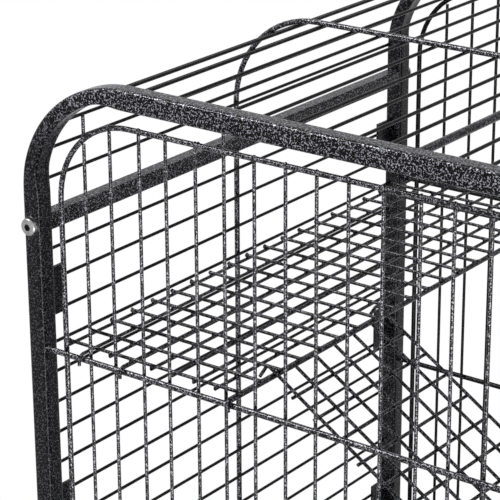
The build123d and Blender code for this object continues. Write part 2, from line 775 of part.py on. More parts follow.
def hinge_sleeves():
    """Sleeves on the door's frame that turn on the left jamb."""
    low = LEAF_FOOT + SLEEVE_MARGIN
    high = LEAF_TOP - SLEEVE_MARGIN - SLEEVE_HEIGHT
    solids = []
    for z in (low, (low + high) / 2, high):
        outer = rod((-JAMB_X, -FRAME_Y, z), (-JAMB_X, -FRAME_Y, z + SLEEVE_HEIGHT), 2 * SLEEVE_R)
        bore = rod(
            (-JAMB_X, -FRAME_Y, z - 1), (-JAMB_X, -FRAME_Y, z + SLEEVE_HEIGHT + 1), ROD + 2 * RUN_CLEAR
        )
        solids.append((outer - bore).solid())
    return solids


def back_plate(left, right):
    """A flat plate on the wires' front faces at the latch's height."""
    half = LATCH_PLATE_HEIGHT / 2
    return box((left, -PLATE_FACE, LATCH_Z - half), (right, -PANEL_FACE, LATCH_Z + half))


def latch_plate():
    """The door's latch plate with two guides for the bolt."""
    body = back_plate(LATCH_LEFT, LATCH_RIGHT)
    half = GUIDE_HEIGHT / 2
    for x in (LATCH_LEFT + GUIDE_WIDTH / 2, LATCH_RIGHT - 1.5 * GUIDE_WIDTH):
        body += box((x, -GUIDE_FACE, LATCH_Z - half), (x + GUIDE_WIDTH, -PLATE_FACE, LATCH_Z + half))
    left = (LATCH_LEFT, -LATCH_Y, LATCH_Z)
    right = (LATCH_RIGHT, -LATCH_Y, LATCH_Z)
    return (body - rod(left, right, LATCH_BOLT + 2 * RUN_CLEAR)).solid()


def latch_bolt():
    """The sliding bolt with its knob, drawn back."""
    knob_x = LATCH_LEFT + 1.5 * GUIDE_WIDTH + KNOB_STEM / 2 + REST_GAP
    body = rod(
        (LATCH_LEFT - LATCH_BOLT_TAIL, -LATCH_Y, LATCH_Z),
        (LATCH_RIGHT + LATCH_BOLT_TIP, -LATCH_Y, LATCH_Z),
        LATCH_BOLT,
    )
    clear = GUIDE_FACE + REST_GAP
    body = body + rod((knob_x, -LATCH_Y, LATCH_Z), (knob_x, -clear, LATCH_Z), KNOB_STEM)
    knob = rod((knob_x, -clear, LATCH_Z), (knob_x, -clear - KNOB_LENGTH, LATCH_Z), KNOB)
    knob = fillet(knob.edges().group_by(Axis.Y)[0], KNOB / 4)
    return (body + knob).solid()


def latch_keeper():
    """The plate beside the doorway, and on it the square strap that takes the bolt's tip."""
    wire = min(x for x in UPRIGHT_X if x > JAMB_X + PITCH / 2)
    end = KEEPER_X + GUIDE_WIDTH
    half = GUIDE_HEIGHT / 2
    clear = LATCH_BOLT / 2 + GAP_CLEAR
    inner = -LATCH_Y - clear
    return [
        back_plate(JAMB_X - ROD / 2, wire + WIRE),
        box((KEEPER_X, -GUIDE_FACE, LATCH_Z - half), (end, inner, LATCH_Z + half)),
        box((KEEPER_X, inner, LATCH_Z - half), (end, -PLATE_FACE, LATCH_Z - clear)),
        box((KEEPER_X, inner, LATCH_Z + clear), (end, -PLATE_FACE, LATCH_Z + half)),
    ]


# ---- Stand ----


def storage_shelf():
    """Level wires on the front and rear stand rails, over bars between the side rails."""
    top = STAND_RAIL_Z + RAIL / 2
    reach = HALF_D + SHELF_OVERHANG
    solids = []
    for x in [EVEN_X[0] - PITCH, *EVEN_X, EVEN_X[-1] + PITCH]:
        solids.append(rod((x, -reach, top + WIRE / 2), (x, reach, top + WIRE / 2), WIRE))
    span = HALF_W - RAIL / 2
    for i in range(1, SHELF_BARS + 1):
        y = -HALF_D + CAGE_DEPTH * i / (SHELF_BARS + 1)
        solids.append(rod((-span, y, top - ROD / 2), (span, y, top - ROD / 2), ROD))
    return solids


def caster_socket(x, y):
    """The plastic socket in a leg's foot that takes the caster's stem."""
    side = POST - 2 * POST_WALL - 2 * FIT_CLEAR
    low = LEG_FOOT_Z - SOCKET_COLLAR_HEIGHT
    body = rod((x, y, low), (x, y, LEG_FOOT_Z), SOCKET_COLLAR)
    body += plug((x, y, LEG_FOOT_Z), (x, y, LEG_FOOT_Z + SOCKET_PLUG), side, POST_CORNER - POST_WALL)
    depth = STEM_TOP + STEM_LENGTH + SOCKET_BORE_SPARE
    body -= rod((x, y, low - 1), (x, y, depth), STEM + 2 * RUN_CLEAR)
    return body.solid()


def fork(x, y, trail):
    """A stamped fork with its stem, trailing towards the front (-1) or the rear (+1)."""
    inner = FORK_GAP / 2
    outer = inner + FORK_GAUGE
    shoulder = STEM_TOP - FORK_SHOULDER / 2
    blade = Pos((FORK_BACK - FORK_FRONT) / 2, shoulder) * Rectangle(FORK_FRONT + FORK_BACK, FORK_SHOULDER)
    boss = Pos(TRAIL, AXLE_Z) * Circle(FORK_BOSS)
    outline = make_hull([*blade.edges(), *boss.edges()])
    outline -= Pos(TRAIL, AXLE_Z) * Circle(AXLE / 2 + BOLT_CLEAR)
    outline -= Pos(PEDAL_PIVOT_OUT, STEM_TOP - PEDAL_PIVOT_DROP) * Circle(PEDAL_PIVOT / 2 + RUN_CLEAR)
    side_view = Plane(origin=(inner, 0, 0), x_dir=(0, 1, 0), z_dir=(1, 0, 0))
    arm = extrude(side_view * outline, amount=FORK_GAUGE)
    body = arm + mirror(arm, Plane.YZ)
    body += box((-outer, -FORK_FRONT, STEM_TOP - FORK_CROWN), (outer, FORK_BACK, STEM_TOP))
    body += rod((0, 0, STEM_TOP - 1), (0, 0, STEM_TOP + STEM_LENGTH), STEM)
    return place_caster(body, x, y, trail)


def place_caster(body, x, y, trail):
    """Turns a caster piece that trails towards +Y to its own direction and moves it to its leg."""
    turned = body if trail > 0 else Rot(0, 0, 180) * body
    return (Pos(x, y, 0) * turned).solid()


def axle(x, y, trail):
    """The riveted axle through a fork's arms."""
    outer = FORK_GAP / 2 + FORK_GAUGE
    end = outer + AXLE_HEAD_LENGTH
    body = rod((-end, TRAIL, AXLE_Z), (end, TRAIL, AXLE_Z), AXLE)
    for side in (-1, 1):
        body += rod((side * outer, TRAIL, AXLE_Z), (side * end, TRAIL, AXLE_Z), AXLE_HEAD)
    return place_caster(body, x, y, trail)


def hub(x, y, trail):
    """The wheel's core, which turns on the axle between the arms."""
    half = WHEEL_WIDTH / 2
    end = FORK_GAP / 2 - REST_GAP
    body = rod((-half, TRAIL, AXLE_Z), (half, TRAIL, AXLE_Z), HUB)
    body += rod((-end, TRAIL, AXLE_Z), (end, TRAIL, AXLE_Z), HUB_BOSS)
    body -= rod((-WHEEL, TRAIL, AXLE_Z), (WHEEL, TRAIL, AXLE_Z), AXLE + 2 * BOLT_CLEAR)
    return place_caster(body, x, y, trail)


def tyre(x, y, trail):
    """The tread ring on a hub."""
    half = WHEEL_WIDTH / 2
    body = rod((-half, TRAIL, AXLE_Z), (half, TRAIL, AXLE_Z), WHEEL)
    body = fillet(body.edges().filter_by(GeomType.CIRCLE), TYRE_ROUND)
    body -= rod((-WHEEL, TRAIL, AXLE_Z), (WHEEL, TRAIL, AXLE_Z), HUB + 2 * TYRE_FIT)
    return place_caster(body, x, y, trail)


def brake_pedal(x, y, trail):
    """A foot pedal that turns on a pin in the fork's arms, with a pad over the tyre."""
    pivot_z = STEM_TOP - PEDAL_PIVOT_DROP
    half = PEDAL_WIDTH / 2
    outer = FORK_GAP / 2 + FORK_GAUGE
    body = rod((-half, 0, 0), (half, 0, 0), PEDAL_BARREL)
    body += box((-half, 0, -PEDAL_THICK / 2), (half, PEDAL_LENGTH, PEDAL_THICK / 2))
    body += box(
        (-WHEEL_WIDTH / 2, PEDAL_PAD_START, -PEDAL_THICK / 2 - PEDAL_PAD_THICK),
        (WHEEL_WIDTH / 2, PEDAL_PAD_START + PEDAL_PAD_LENGTH, 0),
    )
    body += rod((-outer, 0, 0), (outer, 0, 0), PEDAL_PIVOT)
    return place_caster(Pos(0, PEDAL_PIVOT_OUT, pivot_z) * Rot(PEDAL_REST_TILT, 0, 0) * body, x, y, trail)


# ---- Nodes ----


def frame_nodes():
    """The tube frame, its rails and its fasteners."""
    nodes = {
        "front_arch": [arch(-HALF_D)],
        "rear_arch": [arch(HALF_D)],
        "front_base_rail": [cross_rail(-HALF_D, BASE_RAIL_Z)],
        "rear_base_rail": [cross_rail(HALF_D, BASE_RAIL_Z)],
        "front_stand_rail": [cross_rail(-HALF_D, STAND_RAIL_Z)],
        "rear_stand_rail": [cross_rail(HALF_D, STAND_RAIL_Z)],
        "rail_inserts": [rail_insert(*end) for end in bolted_ends()],
        "frame_bolts": [frame_bolt(*end) for end in bolted_ends()],
        "leg_sleeves": [leg_sleeve(x * HALF_W, y * HALF_D) for x, y in CORNERS.values()],
    }
    for name, x in (("left", -HALF_W), ("right", HALF_W)):
        nodes[f"{name}_top_rail"] = [side_rail(x, TOP_RAIL_Z)]
        nodes[f"{name}_base_rail"] = [side_rail(x, BASE_RAIL_Z)]
        nodes[f"{name}_stand_rail"] = [side_rail(x, STAND_RAIL_Z)]
    for name, (x, y) in CORNERS.items():
        nodes[f"{name}_leg"] = [leg(x * HALF_W, y * HALF_D)]
    return nodes


def cage_nodes():
    """The wire panels and what hangs or slides in them."""
    return {
        "front_wire_panel": front_panel(),
        "rear_wire_panel": rear_panel(),
        "left_wire_panel": side_panel(-1),
        "right_wire_panel": side_panel(1),
        "roof_wire_panel": roof_panel(),
        "ridge_rod": [long_wire(0, ROOF_Z + WIRE / 2 - RIDGE / 2, RIDGE)],
        "middle_hoop": [middle_hoop()],
        "panel_tabs": panel_tabs(),
        "upper_platform": platform(-1, 2),
        "lower_platform": platform(1, 1),
        "upper_ramp": upper_ramp(),
        "lower_ramp": lower_ramp(),
        "tray_runners": [runner(-1), runner(1)],
        "litter_tray": [litter_tray()],
        "floor_grille": floor_grille(),
        "front_door": front_door(),
        "door_hinge_sleeves": hinge_sleeves(),
        "latch_plate": [latch_plate()],
        "latch_bolt": [latch_bolt()],
        "latch_keeper": latch_keeper(),
        "storage_shelf": storage_shelf(),
    }


def caster_nodes():
    """The four casters, with brake pedals at the front."""
    nodes = {"caster_sockets": [caster_socket(x * HALF_W, y * HALF_D) for x, y in CORNERS.values()]}
    for name, (side, trail) in CORNERS.items():
        place = (side * HALF_W, trail * HALF_D, trail)
        nodes[f"{name}_fork"] = [fork(*place)]
        nodes[f"{name}_axle"] = [axle(*place)]
        nodes[f"{name}_hub"] = [hub(*place)]
        nodes[f"{name}_tyre"] = [tyre(*place)]
        if trail < 0:
            nodes[f"{name}_brake"] = [brake_pedal(*place)]
    return nodes


os.makedirs("parts", exist_ok=True)
for node, solids in {**frame_nodes(), **cage_nodes(), **caster_nodes()}.items():
    shape = solids[0] if len(solids) == 1 else Compound(children=solids)
    export_step(shape, f"parts/{node}.step")
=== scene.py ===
"""A wire bird cage on a rolling stand, dressed in hammered powder coat, in metres."""

from __future__ import annotations

import json
import logging
import math
from dataclasses import dataclass, field
from enum import Enum

import bmesh
import bpy
from mathutils import Matrix, Vector, noise

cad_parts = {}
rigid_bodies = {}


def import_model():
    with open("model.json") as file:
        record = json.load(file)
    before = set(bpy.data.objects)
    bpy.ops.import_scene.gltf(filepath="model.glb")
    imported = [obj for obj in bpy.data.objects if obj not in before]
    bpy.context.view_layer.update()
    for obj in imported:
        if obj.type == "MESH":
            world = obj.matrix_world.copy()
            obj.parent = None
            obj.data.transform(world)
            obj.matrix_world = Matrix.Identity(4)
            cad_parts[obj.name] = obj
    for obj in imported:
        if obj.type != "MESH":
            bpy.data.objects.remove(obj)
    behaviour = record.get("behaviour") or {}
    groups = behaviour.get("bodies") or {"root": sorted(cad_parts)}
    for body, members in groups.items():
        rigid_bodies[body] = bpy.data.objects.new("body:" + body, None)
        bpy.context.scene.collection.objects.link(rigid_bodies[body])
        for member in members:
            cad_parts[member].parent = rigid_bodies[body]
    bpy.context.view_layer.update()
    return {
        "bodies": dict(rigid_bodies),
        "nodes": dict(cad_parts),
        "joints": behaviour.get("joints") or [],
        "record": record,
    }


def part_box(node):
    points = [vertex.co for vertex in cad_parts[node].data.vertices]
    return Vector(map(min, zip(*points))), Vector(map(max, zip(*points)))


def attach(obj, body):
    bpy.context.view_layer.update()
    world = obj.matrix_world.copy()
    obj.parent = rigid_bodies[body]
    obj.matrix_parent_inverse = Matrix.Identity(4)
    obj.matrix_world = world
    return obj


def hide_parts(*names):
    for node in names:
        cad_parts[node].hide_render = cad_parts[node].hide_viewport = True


LOG = logging.getLogger("bird_cage")
SAME_POINT = 1e-6  # points nearer than this are one point
LUMPINESS = 0.3  # how uneven a weld drop is
LUMP_SCALE = 1.6  # how fast a weld drop's unevenness changes over it
LUMP_SHIFT = 97.0  # how far one drop's unevenness is moved from the next one's
Colour = tuple[float, float, float, float]


class Finish(Enum):
    """The finishes, each with the record's material slot that it belongs to and its material's name."""

    ARCH_COAT = ("frame", "arch_coat")
    RAIL_COAT = ("frame", "rail_coat")
    FRONT_WIRE_COAT = ("wire", "front_wire_coat")
    SHELF_WIRE_COAT = ("wire", "shaded_shelf_wire_coat")
    INNER_WIRE_COAT = ("wire", "shaded_inner_wire_coat")
    GALVANISED = ("runner", "runner_sheet")
    BLACK_COAT = ("latch", "latch_coat")
    ZINC = ("zinc", "zinc_plate")
    TRAY_PLASTIC = ("tray", "tray_plastic")
    SOCKET_PLASTIC = ("socket", "socket_plastic")
    PEDAL_PLASTIC = ("pedal", "pedal_plastic")
    HUB_PLASTIC = ("hub", "hub_plastic")
    RUBBER = ("tyre", "tyre_rubber")

    @property
    def slot(self) -> str:
        """The name of the record's material slot."""
        return self.value[0]

    @property
    def title(self) -> str:
        """The name of the finish's material."""
        return self.value[1]


# ---- Shader maths ----


class Net:
    """Builds one node tree."""

    def __init__(self, tree: bpy.types.NodeTree) -> None:
        """Starts on an emptied tree.

        Args:
            tree: a material's or a world's node tree.
        """
        self.tree = tree
        self.tree.nodes.clear()

    def node(self, kind: str, settings: dict | None = None, **inputs: object) -> bpy.types.Node:
        """Adds a node.

        Args:
            kind: the node's type name.
            settings: attributes set before the sockets.
            inputs: socket values or links, by socket name with underscores for spaces, or by
                "_" and the socket's number.

        Returns:
            The node.
        """
        made = self.tree.nodes.new(kind)
        for key, value in (settings or {}).items():
            setattr(made, key, value)
        for key, value in inputs.items():
            socket = made.inputs[int(key[1:]) if key[1:].isdigit() else key.replace("_", " ")]
            if isinstance(value, Wave):
                value = value.socket
            if isinstance(value, bpy.types.NodeSocket):
                self.tree.links.new(value, socket)
            else:
                socket.default_value = value
        return made

    def wave(self, socket: bpy.types.NodeSocket) -> Wave:
        """Wraps a number socket for maths."""
        return Wave(self, socket)

    def place(self) -> bpy.types.NodeSocket:
        """The piece's own coordinates."""
        return self.node("ShaderNodeTexCoord").outputs["Object"]

    def mix(self, factor: Wave, low: object, high: object) -> bpy.types.NodeSocket:
        """Blends two colours.

        Args:
            factor: 0 for the first colour and 1 for the second.
            low: a colour or a colour socket.
            high: a colour or a colour socket.

        Returns:
            The blended colour's socket.
        """
        made = self.node("ShaderNodeMix", {"data_type": "RGBA"}, _0=factor, _6=low, _7=high)
        return made.outputs[2]

    def grain(self, scale: float, detail: float = 2.0, rough: float = 0.5, warp: float = 0.0) -> Wave:
        """A noise value over the piece's own space.

        Args:
            scale: cells per metre.
            detail: octaves.
            rough: how much the finer octaves count.
            warp: how far the pattern is drawn out into worms.

        Returns:
            The noise, from 0 to 1.
        """
        made = self.node(
            "ShaderNodeTexNoise",
            Vector=self.place(), Scale=scale, Detail=detail, Roughness=rough, Distortion=warp,
        )
        return self.wave(made.outputs[0])

    def cells(self, scale: float) -> bpy.types.NodeSocket:
        """A pattern of cells over the piece's own space, each of one chance colour."""
        return self.node("ShaderNodeTexVoronoi", Vector=self.place(), Scale=scale).outputs["Color"]

    def bump(self, height: Wave, strength: float, distance: float) -> bpy.types.NodeSocket:
        """A bumped normal.

        Args:
            height: the height value.
            strength: how strong the bump is.
            distance: the height in metres of a value of 1.

        Returns:
            The normal's socket.
        """
        made = self.node("ShaderNodeBump", Strength=strength, Distance=distance, Height=height)
        return made.outputs[0]


@dataclass(frozen=True)
class Wave:
    """A number socket that takes part in plain expressions."""

    net: Net
    socket: bpy.types.NodeSocket

    def _math(self, operation: str, first: object, second: object) -> Wave:
        """Adds one Math node."""
        made = self.net.node("ShaderNodeMath", {"operation": operation}, _0=first, _1=second)
        return Wave(self.net, made.outputs[0])

    def __add__(self, other: object) -> Wave:
        """Sum."""
        return self._math("ADD", self, other)

    def __mul__(self, other: object) -> Wave:
        """Product."""
        return self._math("MULTIPLY", self, other)

    def ramp(self, low: float, high: float, start: float = 0.0, end: float = 1.0) -> Wave:
        """Carries a range of this value smoothly to another range.

        Args:
            low: where the source range starts.
            high: where the source range ends.
            start: the result at low.
            end: the result at high.

        Returns:
            The carried value.
        """
        made = self.net.node(
            "ShaderNodeMapRange",
            {"interpolation_type": "SMOOTHSTEP"},
            _0=self, _1=low, _2=high, _3=start, _4=end,
        )
        return Wave(self.net, made.outputs[0])


# ---- Finishes ----


def tone(red: float, green: float, blue: float) -> Colour:
    """A colour with full cover."""
    return (red, green, blue, 1.0)


@dataclass(frozen=True)
class Surface:
    """What every finish shares: a material ended by one Principled shader."""

    @staticmethod
    def start(name: str) -> tuple[bpy.types.Material, Net]:
        """Starts a material.

        Args:
            name: the material's name.

        Returns:
            The new material and its emptied node tree.
        """
        material = bpy.data.materials.new(name)
        material.use_nodes = True
        return material, Net(material.node_tree)

    @staticmethod
    def end(net: Net, **inputs: object) -> None:
        """Adds the shader with the given sockets, and the output."""
        shader = net.node("ShaderNodeBsdfPrincipled", **inputs)
        net.node("ShaderNodeOutputMaterial", Surface=shader.outputs[0])


@dataclass(frozen=True)
class HammeredCoat(Surface):
    """Powder coat that dries as a black ground with silver flecks, with painted shade that thins the
    flecks lower down.

    The flecks are whole above an upper height, and are thinned, as painted shade, to a set share at a
    lower height and below.
    """

    ground: Colour = tone(0.002, 0.002, 0.0026)
    fleck: Colour = tone(0.33, 0.33, 0.375)
    scale: float = 780.0
    worm: float = 0.7
    cover: float = 0.415
    edge: float = 0.02
    shine: float = 0.09
    rough: float = 0.24
    fleck_rough: float = 0.12
    fleck_metal: float = 0.3
    # painted shade: the share of flecks left at the bottom, and the heights where the painted shade starts
    # and ends
    thin: float = 0.24
    painted_shade_top: float = 1.29
    painted_shade_bottom: float = 1.225

    def material(self, name: str) -> bpy.types.Material:
        """Builds the coat.

        Args:
            name: the material's name.

        Returns:
            The material.
        """
        material, net = self.start(name)
        height = net.grain(self.scale, detail=1.0, warp=self.worm)
        middle = 1.0 - self.cover
        flecks = height.ramp(middle - self.edge, middle + self.edge)
        # painted shade: the flecks thin out towards the bottom, which darkens the lower posts
        rise = net.wave(net.node("ShaderNodeSeparateXYZ", Vector=net.place()).outputs["Z"])
        flecks = flecks * rise.ramp(self.painted_shade_bottom, self.painted_shade_top, self.thin, 1.0)
        tint = net.mix(flecks, self.ground, self.fleck)
        self.end(
            net, Base_Color=tint,
            Roughness=flecks.ramp(0.0, 1.0, self.rough, self.rough + self.fleck_rough),
            Metallic=flecks * self.fleck_metal,
            Normal=net.bump(height, strength=0.4, distance=0.0003),
            Specular_IOR_Level=self.shine,
        )
        return material


@dataclass(frozen=True)
class BlackCoat(Surface):
    """Plain black powder coat with a fine orange peel and rubbed high spots."""

    ground: Colour = tone(0.012, 0.012, 0.013)
    rubbed: Colour = tone(0.05, 0.05, 0.053)
    peel_scale: float = 700.0
    rub_scale: float = 110.0
    rub_range: tuple[float, float] = (0.52, 0.78)
    rough: float = 0.36
    rubbed_rough: float = 0.52
    shine: float = 0.4

    def material(self, name: str) -> bpy.types.Material:
        """Builds the coat.

        Args:
            name: the material's name.

        Returns:
            The material.
        """
        material, net = self.start(name)
        peel = net.grain(self.peel_scale)
        rub = net.grain(self.rub_scale, detail=4.0, rough=0.65).ramp(*self.rub_range)
        self.end(
            net, Base_Color=net.mix(rub, self.ground, self.rubbed),
            Roughness=rub.ramp(0.0, 1.0, self.rough, self.rubbed_rough),
            Normal=net.bump(peel, strength=0.35, distance=0.0002),
            Specular_IOR_Level=self.shine,
        )
        return material


@dataclass(frozen=True)
class PlatedSteel(Surface):
    """Bright zinc plating with fine brushing and dull clouds."""

    tint: Colour = tone(0.42, 0.42, 0.42)
    dull: Colour = tone(0.2, 0.2, 0.205)
    brush_scale: float = 900.0
    cloud_scale: float = 90.0
    cloud_range: tuple[float, float] = (0.35, 0.7)
    rough_range: tuple[float, float] = (0.7, 1.3)
    rough: float = 0.2
    dull_rough: float = 0.22

    def material(self, name: str) -> bpy.types.Material:
        """Builds the plating.

        Args:
            name: the material's name.

        Returns:
            The material.
        """
        material, net = self.start(name)
        fine = net.grain(self.brush_scale, detail=3.0, rough=0.6)
        cloud = net.grain(self.cloud_scale)
        self.end(
            net, Base_Color=net.mix(cloud.ramp(*self.cloud_range), self.tint, self.dull), Metallic=1.0,
            Roughness=(fine + cloud).ramp(*self.rough_range, self.rough, self.rough + self.dull_rough),
            Normal=net.bump(fine, strength=0.25, distance=0.0002),
        )
        return material


@dataclass(frozen=True)
class GalvanisedSteel(Surface):
    """Sheet steel with the spangle of hot galvanising."""

    light: Colour = tone(0.5, 0.51, 0.52)
    dark: Colour = tone(0.3, 0.31, 0.325)
    spangle: float = 130.0
    streak_scale: float = 300.0
    streaks: float = 0.3
    rough_range: tuple[float, float] = (0.2, 0.8)
    rough: float = 0.34
    light_rough: float = 0.5

    def material(self, name: str) -> bpy.types.Material:
        """Builds the sheet.

        Args:
            name: the material's name.

        Returns:
            The material.
        """
        material, net = self.start(name)
        split = net.node("ShaderNodeSeparateColor", Color=net.cells(self.spangle))
        facet = net.wave(split.outputs[0])
        streak = net.grain(self.streak_scale, detail=3.0, rough=0.6)
        shade = facet * (1.0 - self.streaks) + streak * self.streaks
        self.end(
            net, Base_Color=net.mix(shade, self.dark, self.light), Metallic=1.0,
            Roughness=shade.ramp(*self.rough_range, self.rough, self.light_rough),
            Normal=net.bump(streak, strength=0.2, distance=0.0002),
        )
        return material


@dataclass(frozen=True)
class MouldedPlastic(Surface):
    """Moulded plastic with a spark-eroded grain and scuffed patches."""

    tint: Colour = tone(0.03, 0.03, 0.032)
    worn: Colour = tone(0.06, 0.06, 0.062)
    rough: float = 0.42
    pore_rough: float = 0.14
    pores: float = 1500.0
    pore_range: tuple[float, float] = (0.3, 0.7)
    scuff_scale: float = 60.0
    scuff_range: tuple[float, float] = (0.4, 0.75)

    def material(self, name: str) -> bpy.types.Material:
        """Builds the plastic.

        Args:
            name: the material's name.

        Returns:
            The material.
        """
        material, net = self.start(name)
        fine = net.grain(self.pores)
        broad = net.grain(self.scuff_scale, detail=3.0, rough=0.6)
        self.end(
            net, Base_Color=net.mix(broad.ramp(*self.scuff_range), self.tint, self.worn),
            Roughness=fine.ramp(*self.pore_range, self.rough, self.rough + self.pore_rough),
            Normal=net.bump(fine, strength=0.35, distance=0.00015),
        )
        return material


@dataclass(frozen=True)
class Rubber(Surface):
    """Dull tread rubber with dust on it."""

    tint: Colour = tone(0.022, 0.022, 0.023)
    dust: Colour = tone(0.09, 0.088, 0.085)
    pit_scale: float = 1200.0
    dust_scale: float = 120.0
    dust_range: tuple[float, float] = (0.5, 0.8)
    dusty: float = 0.6
    rough_range: tuple[float, float] = (0.3, 0.7)
    rough: float = 0.6
    dust_rough: float = 0.8

    def material(self, name: str) -> bpy.types.Material:
        """Builds the rubber.

        Args:
            name: the material's name.

        Returns:
            The material.
        """
        material, net = self.start(name)
        fine = net.grain(self.pit_scale, detail=4.0, rough=0.6)
        broad = net.grain(self.dust_scale, detail=3.0, rough=0.6)
        self.end(
            net, Base_Color=net.mix(broad.ramp(*self.dust_range) * self.dusty, self.tint, self.dust),
            Roughness=broad.ramp(*self.rough_range, self.rough, self.dust_rough),
            Normal=net.bump(fine, strength=0.4, distance=0.0002),
        )
        return material


# ---- The frame's bars ----


@dataclass(frozen=True)
class Bar:
    """The box of one wire, rod or tube of the frame."""

    low: Vector
    high: Vector

    @property
    def size(self) -> Vector:
        """The box's sides."""
        return self.high - self.low

    @property
    def middle(self) -> Vector:
        """The box's centre."""
        return (self.low + self.high) / 2

    @property
    def along(self) -> int:
        """The axis that the bar runs along."""
        return max(range(3), key=lambda axis: self.size[axis])

    @property
    def girth(self) -> float:
        """The second longest side, which is small on a straight bar."""
        return sorted(self.size)[1]

    def ends(self) -> list[Vector]:
        """Finds where the bar ends.

        Returns:
            The middles of its two end faces.
        """
        made = []
        for corner in (self.low, self.high):
            end = self.middle.copy()
            end[self.along] = corner[self.along]
            made.append(end)
        return made

    def touch(self, other: Bar, reach: float) -> Vector | None:
        """Where this bar meets another that runs across it.

        Args:
            other: the bar that crosses.
            reach: the widest gap that still counts as a weld.

        Returns:
            The middle of the shared space, or None where they are apart.
        """
        low = Vector(max(a, b) for a, b in zip(self.low, other.low))
        high = Vector(min(a, b) for a, b in zip(self.high, other.high))
        if min(high - low) < -reach:
            return None
        return (low + high) / 2


def bars(frame: dict, node: str) -> list[Bar]:
    """Finds the separate bars of a frame node.

    Args:
        node: the node's name.

    Returns:
        One Bar for each connected part of its mesh.
    """
    shape = bmesh.new()
    shape.from_mesh(frame["nodes"][node].data)
    bmesh.ops.remove_doubles(shape, verts=shape.verts, dist=SAME_POINT)
    waiting = set(shape.verts)
    made = []
    while waiting:
        edge = [waiting.pop()]
        found = []
        while edge:
            vert = edge.pop()
            found.append(vert.co.copy())
            for link in vert.link_edges:
                other = link.other_vert(vert)
                if other in waiting:
                    waiting.remove(other)
                    edge.append(other)
        low = Vector(min(place[axis] for place in found) for axis in range(3))
        high = Vector(max(place[axis] for place in found) for axis in range(3))
        made.append(Bar(low, high))
    shape.free()
    return sorted(made, key=lambda bar: tuple(bar.low) + tuple(bar.high))


# ---- Shapes ----


def weld_drop(shape: bmesh.types.BMesh, centre: Vector, size: Vector) -> None:
    """Adds an uneven drop of weld metal.

    Args:
        shape: the mesh to add to.
        centre: the drop's middle.
        size: its half sizes.
    """
    made = bmesh.ops.create_icosphere(shape, subdivisions=2, radius=1.0)
    for vert in made["verts"]:
        swell = 1.0 + LUMPINESS * noise.noise(vert.co * LUMP_SCALE + centre * LUMP_SHIFT)
        vert.co = centre + Vector(swell * a * b for a, b in zip(vert.co, size))


def turned(
    shape: bmesh.types.BMesh, profile: list[tuple[float, float]], origin: Vector, axis: Vector,
    steps: int, flutes: float = 0.0, ring: bool = False,
) -> None:
    """Adds a body turned round an axis.

    Args:
        shape: the mesh to add to.
        profile: radius and distance along the axis of each ring.
        origin: where the distances start.
        axis: the unit axis.
        steps: points round each ring.
        flutes: how far every other point is drawn in.
        ring: closes the profile on itself instead of capping its ends.
    """
    side = axis.orthogonal().normalized()
    other = axis.cross(side)
    rings = []
    for radius, along in profile:
        points = []
        for step in range(steps):
            angle = math.tau * step / steps
            reach = radius - (flutes if step % 2 else 0.0)
            spoke = side * math.cos(angle) + other * math.sin(angle)
            points.append(shape.verts.new(origin + axis * along + spoke * reach))
        rings.append(points)
    loops = list(zip(rings, rings[1:] + rings[:1])) if ring else list(zip(rings, rings[1:]))
    for first, second in loops:
        for step in range(steps):
            after = (step + 1) % steps
            shape.faces.new((first[step], first[after], second[after], second[step]))
    if not ring:
        shape.faces.new(rings[0])
        shape.faces.new(rings[-1])


def joined(shape: bmesh.types.BMesh, rings: list[list[Vector]], closed: bool = False) -> None:
    """Adds a skin over rings of points.

    Args:
        shape: the mesh to add to.
        rings: rings with as many points each.
        closed: joins the last ring to the first instead of capping both.
    """
    verts = [[shape.verts.new(point) for point in ring] for ring in rings]
    count = len(rings[0])
    pairs = list(zip(verts, verts[1:] + verts[:1])) if closed else list(zip(verts, verts[1:]))
    for first, second in pairs:
        for step in range(count):
            after = (step + 1) % count
            shape.faces.new((first[step], first[after], second[after], second[step]))
    if not closed:
        shape.faces.new(verts[0])
        shape.faces.new(verts[-1])


@dataclass
class Bench:
    """Turns finished shapes into pieces that ride on the frame's bodies."""

    materials: dict[Finish, bpy.types.Material]
    sharp_angle: float = math.radians(42.0)

    def put(self, name: str, shape: bmesh.types.BMesh, body: str, finish: Finish) -> bpy.types.Object:
        """Makes a piece from a shape.

        Args:
            name: the piece's name.
            shape: its mesh, which is used up.
            body: the body that it rides on.
            finish: its finish.

        Returns:
            The piece.
        """
        bmesh.ops.recalc_face_normals(shape, faces=shape.faces)
        mesh = bpy.data.meshes.new(name)
        shape.to_mesh(mesh)
        shape.free()
        mesh.materials.append(self.materials[finish])
        for face in mesh.polygons:
            face.use_smooth = True
        mesh.set_sharp_from_angle(angle=self.sharp_angle)
        piece = bpy.data.objects.new(name, mesh)
        bpy.context.scene.collection.objects.link(piece)
        even = piece.modifiers.new("even_shading", "WEIGHTED_NORMAL")
        even.keep_sharp = True
        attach(piece, body)
        LOG.info("%s: %d faces on %s", name, len(mesh.polygons), body)
        return piece


# ---- Frame pieces ----


@dataclass(frozen=True)
class ArchLine:
    """The centre line of an arch's tube, worked out from the arch's box."""

    low: Vector
    high: Vector
    bend: float = 0.0865

    @property
    def half(self) -> float:
        """Half the tube's side."""
        return (self.high.y - self.low.y) / 2

    @property
    def y(self) -> float:
        """Where the arch stands along Y."""
        return (self.high.y + self.low.y) / 2

    @property
    def reach(self) -> float:
        """How far each post's centre stands from the middle."""
        return self.high.x - self.half

    @property
    def inner_face(self) -> float:
        """How far each post's inner face stands from the middle."""
        return self.high.x - 2 * self.half

    @property
    def bend_x(self) -> float:
        """How far each bend's centre stands from the middle."""
        return self.reach - self.bend

    @property
    def bend_z(self) -> float:
        """The height of the bends' centres."""
        return self.high.z - self.half - self.bend


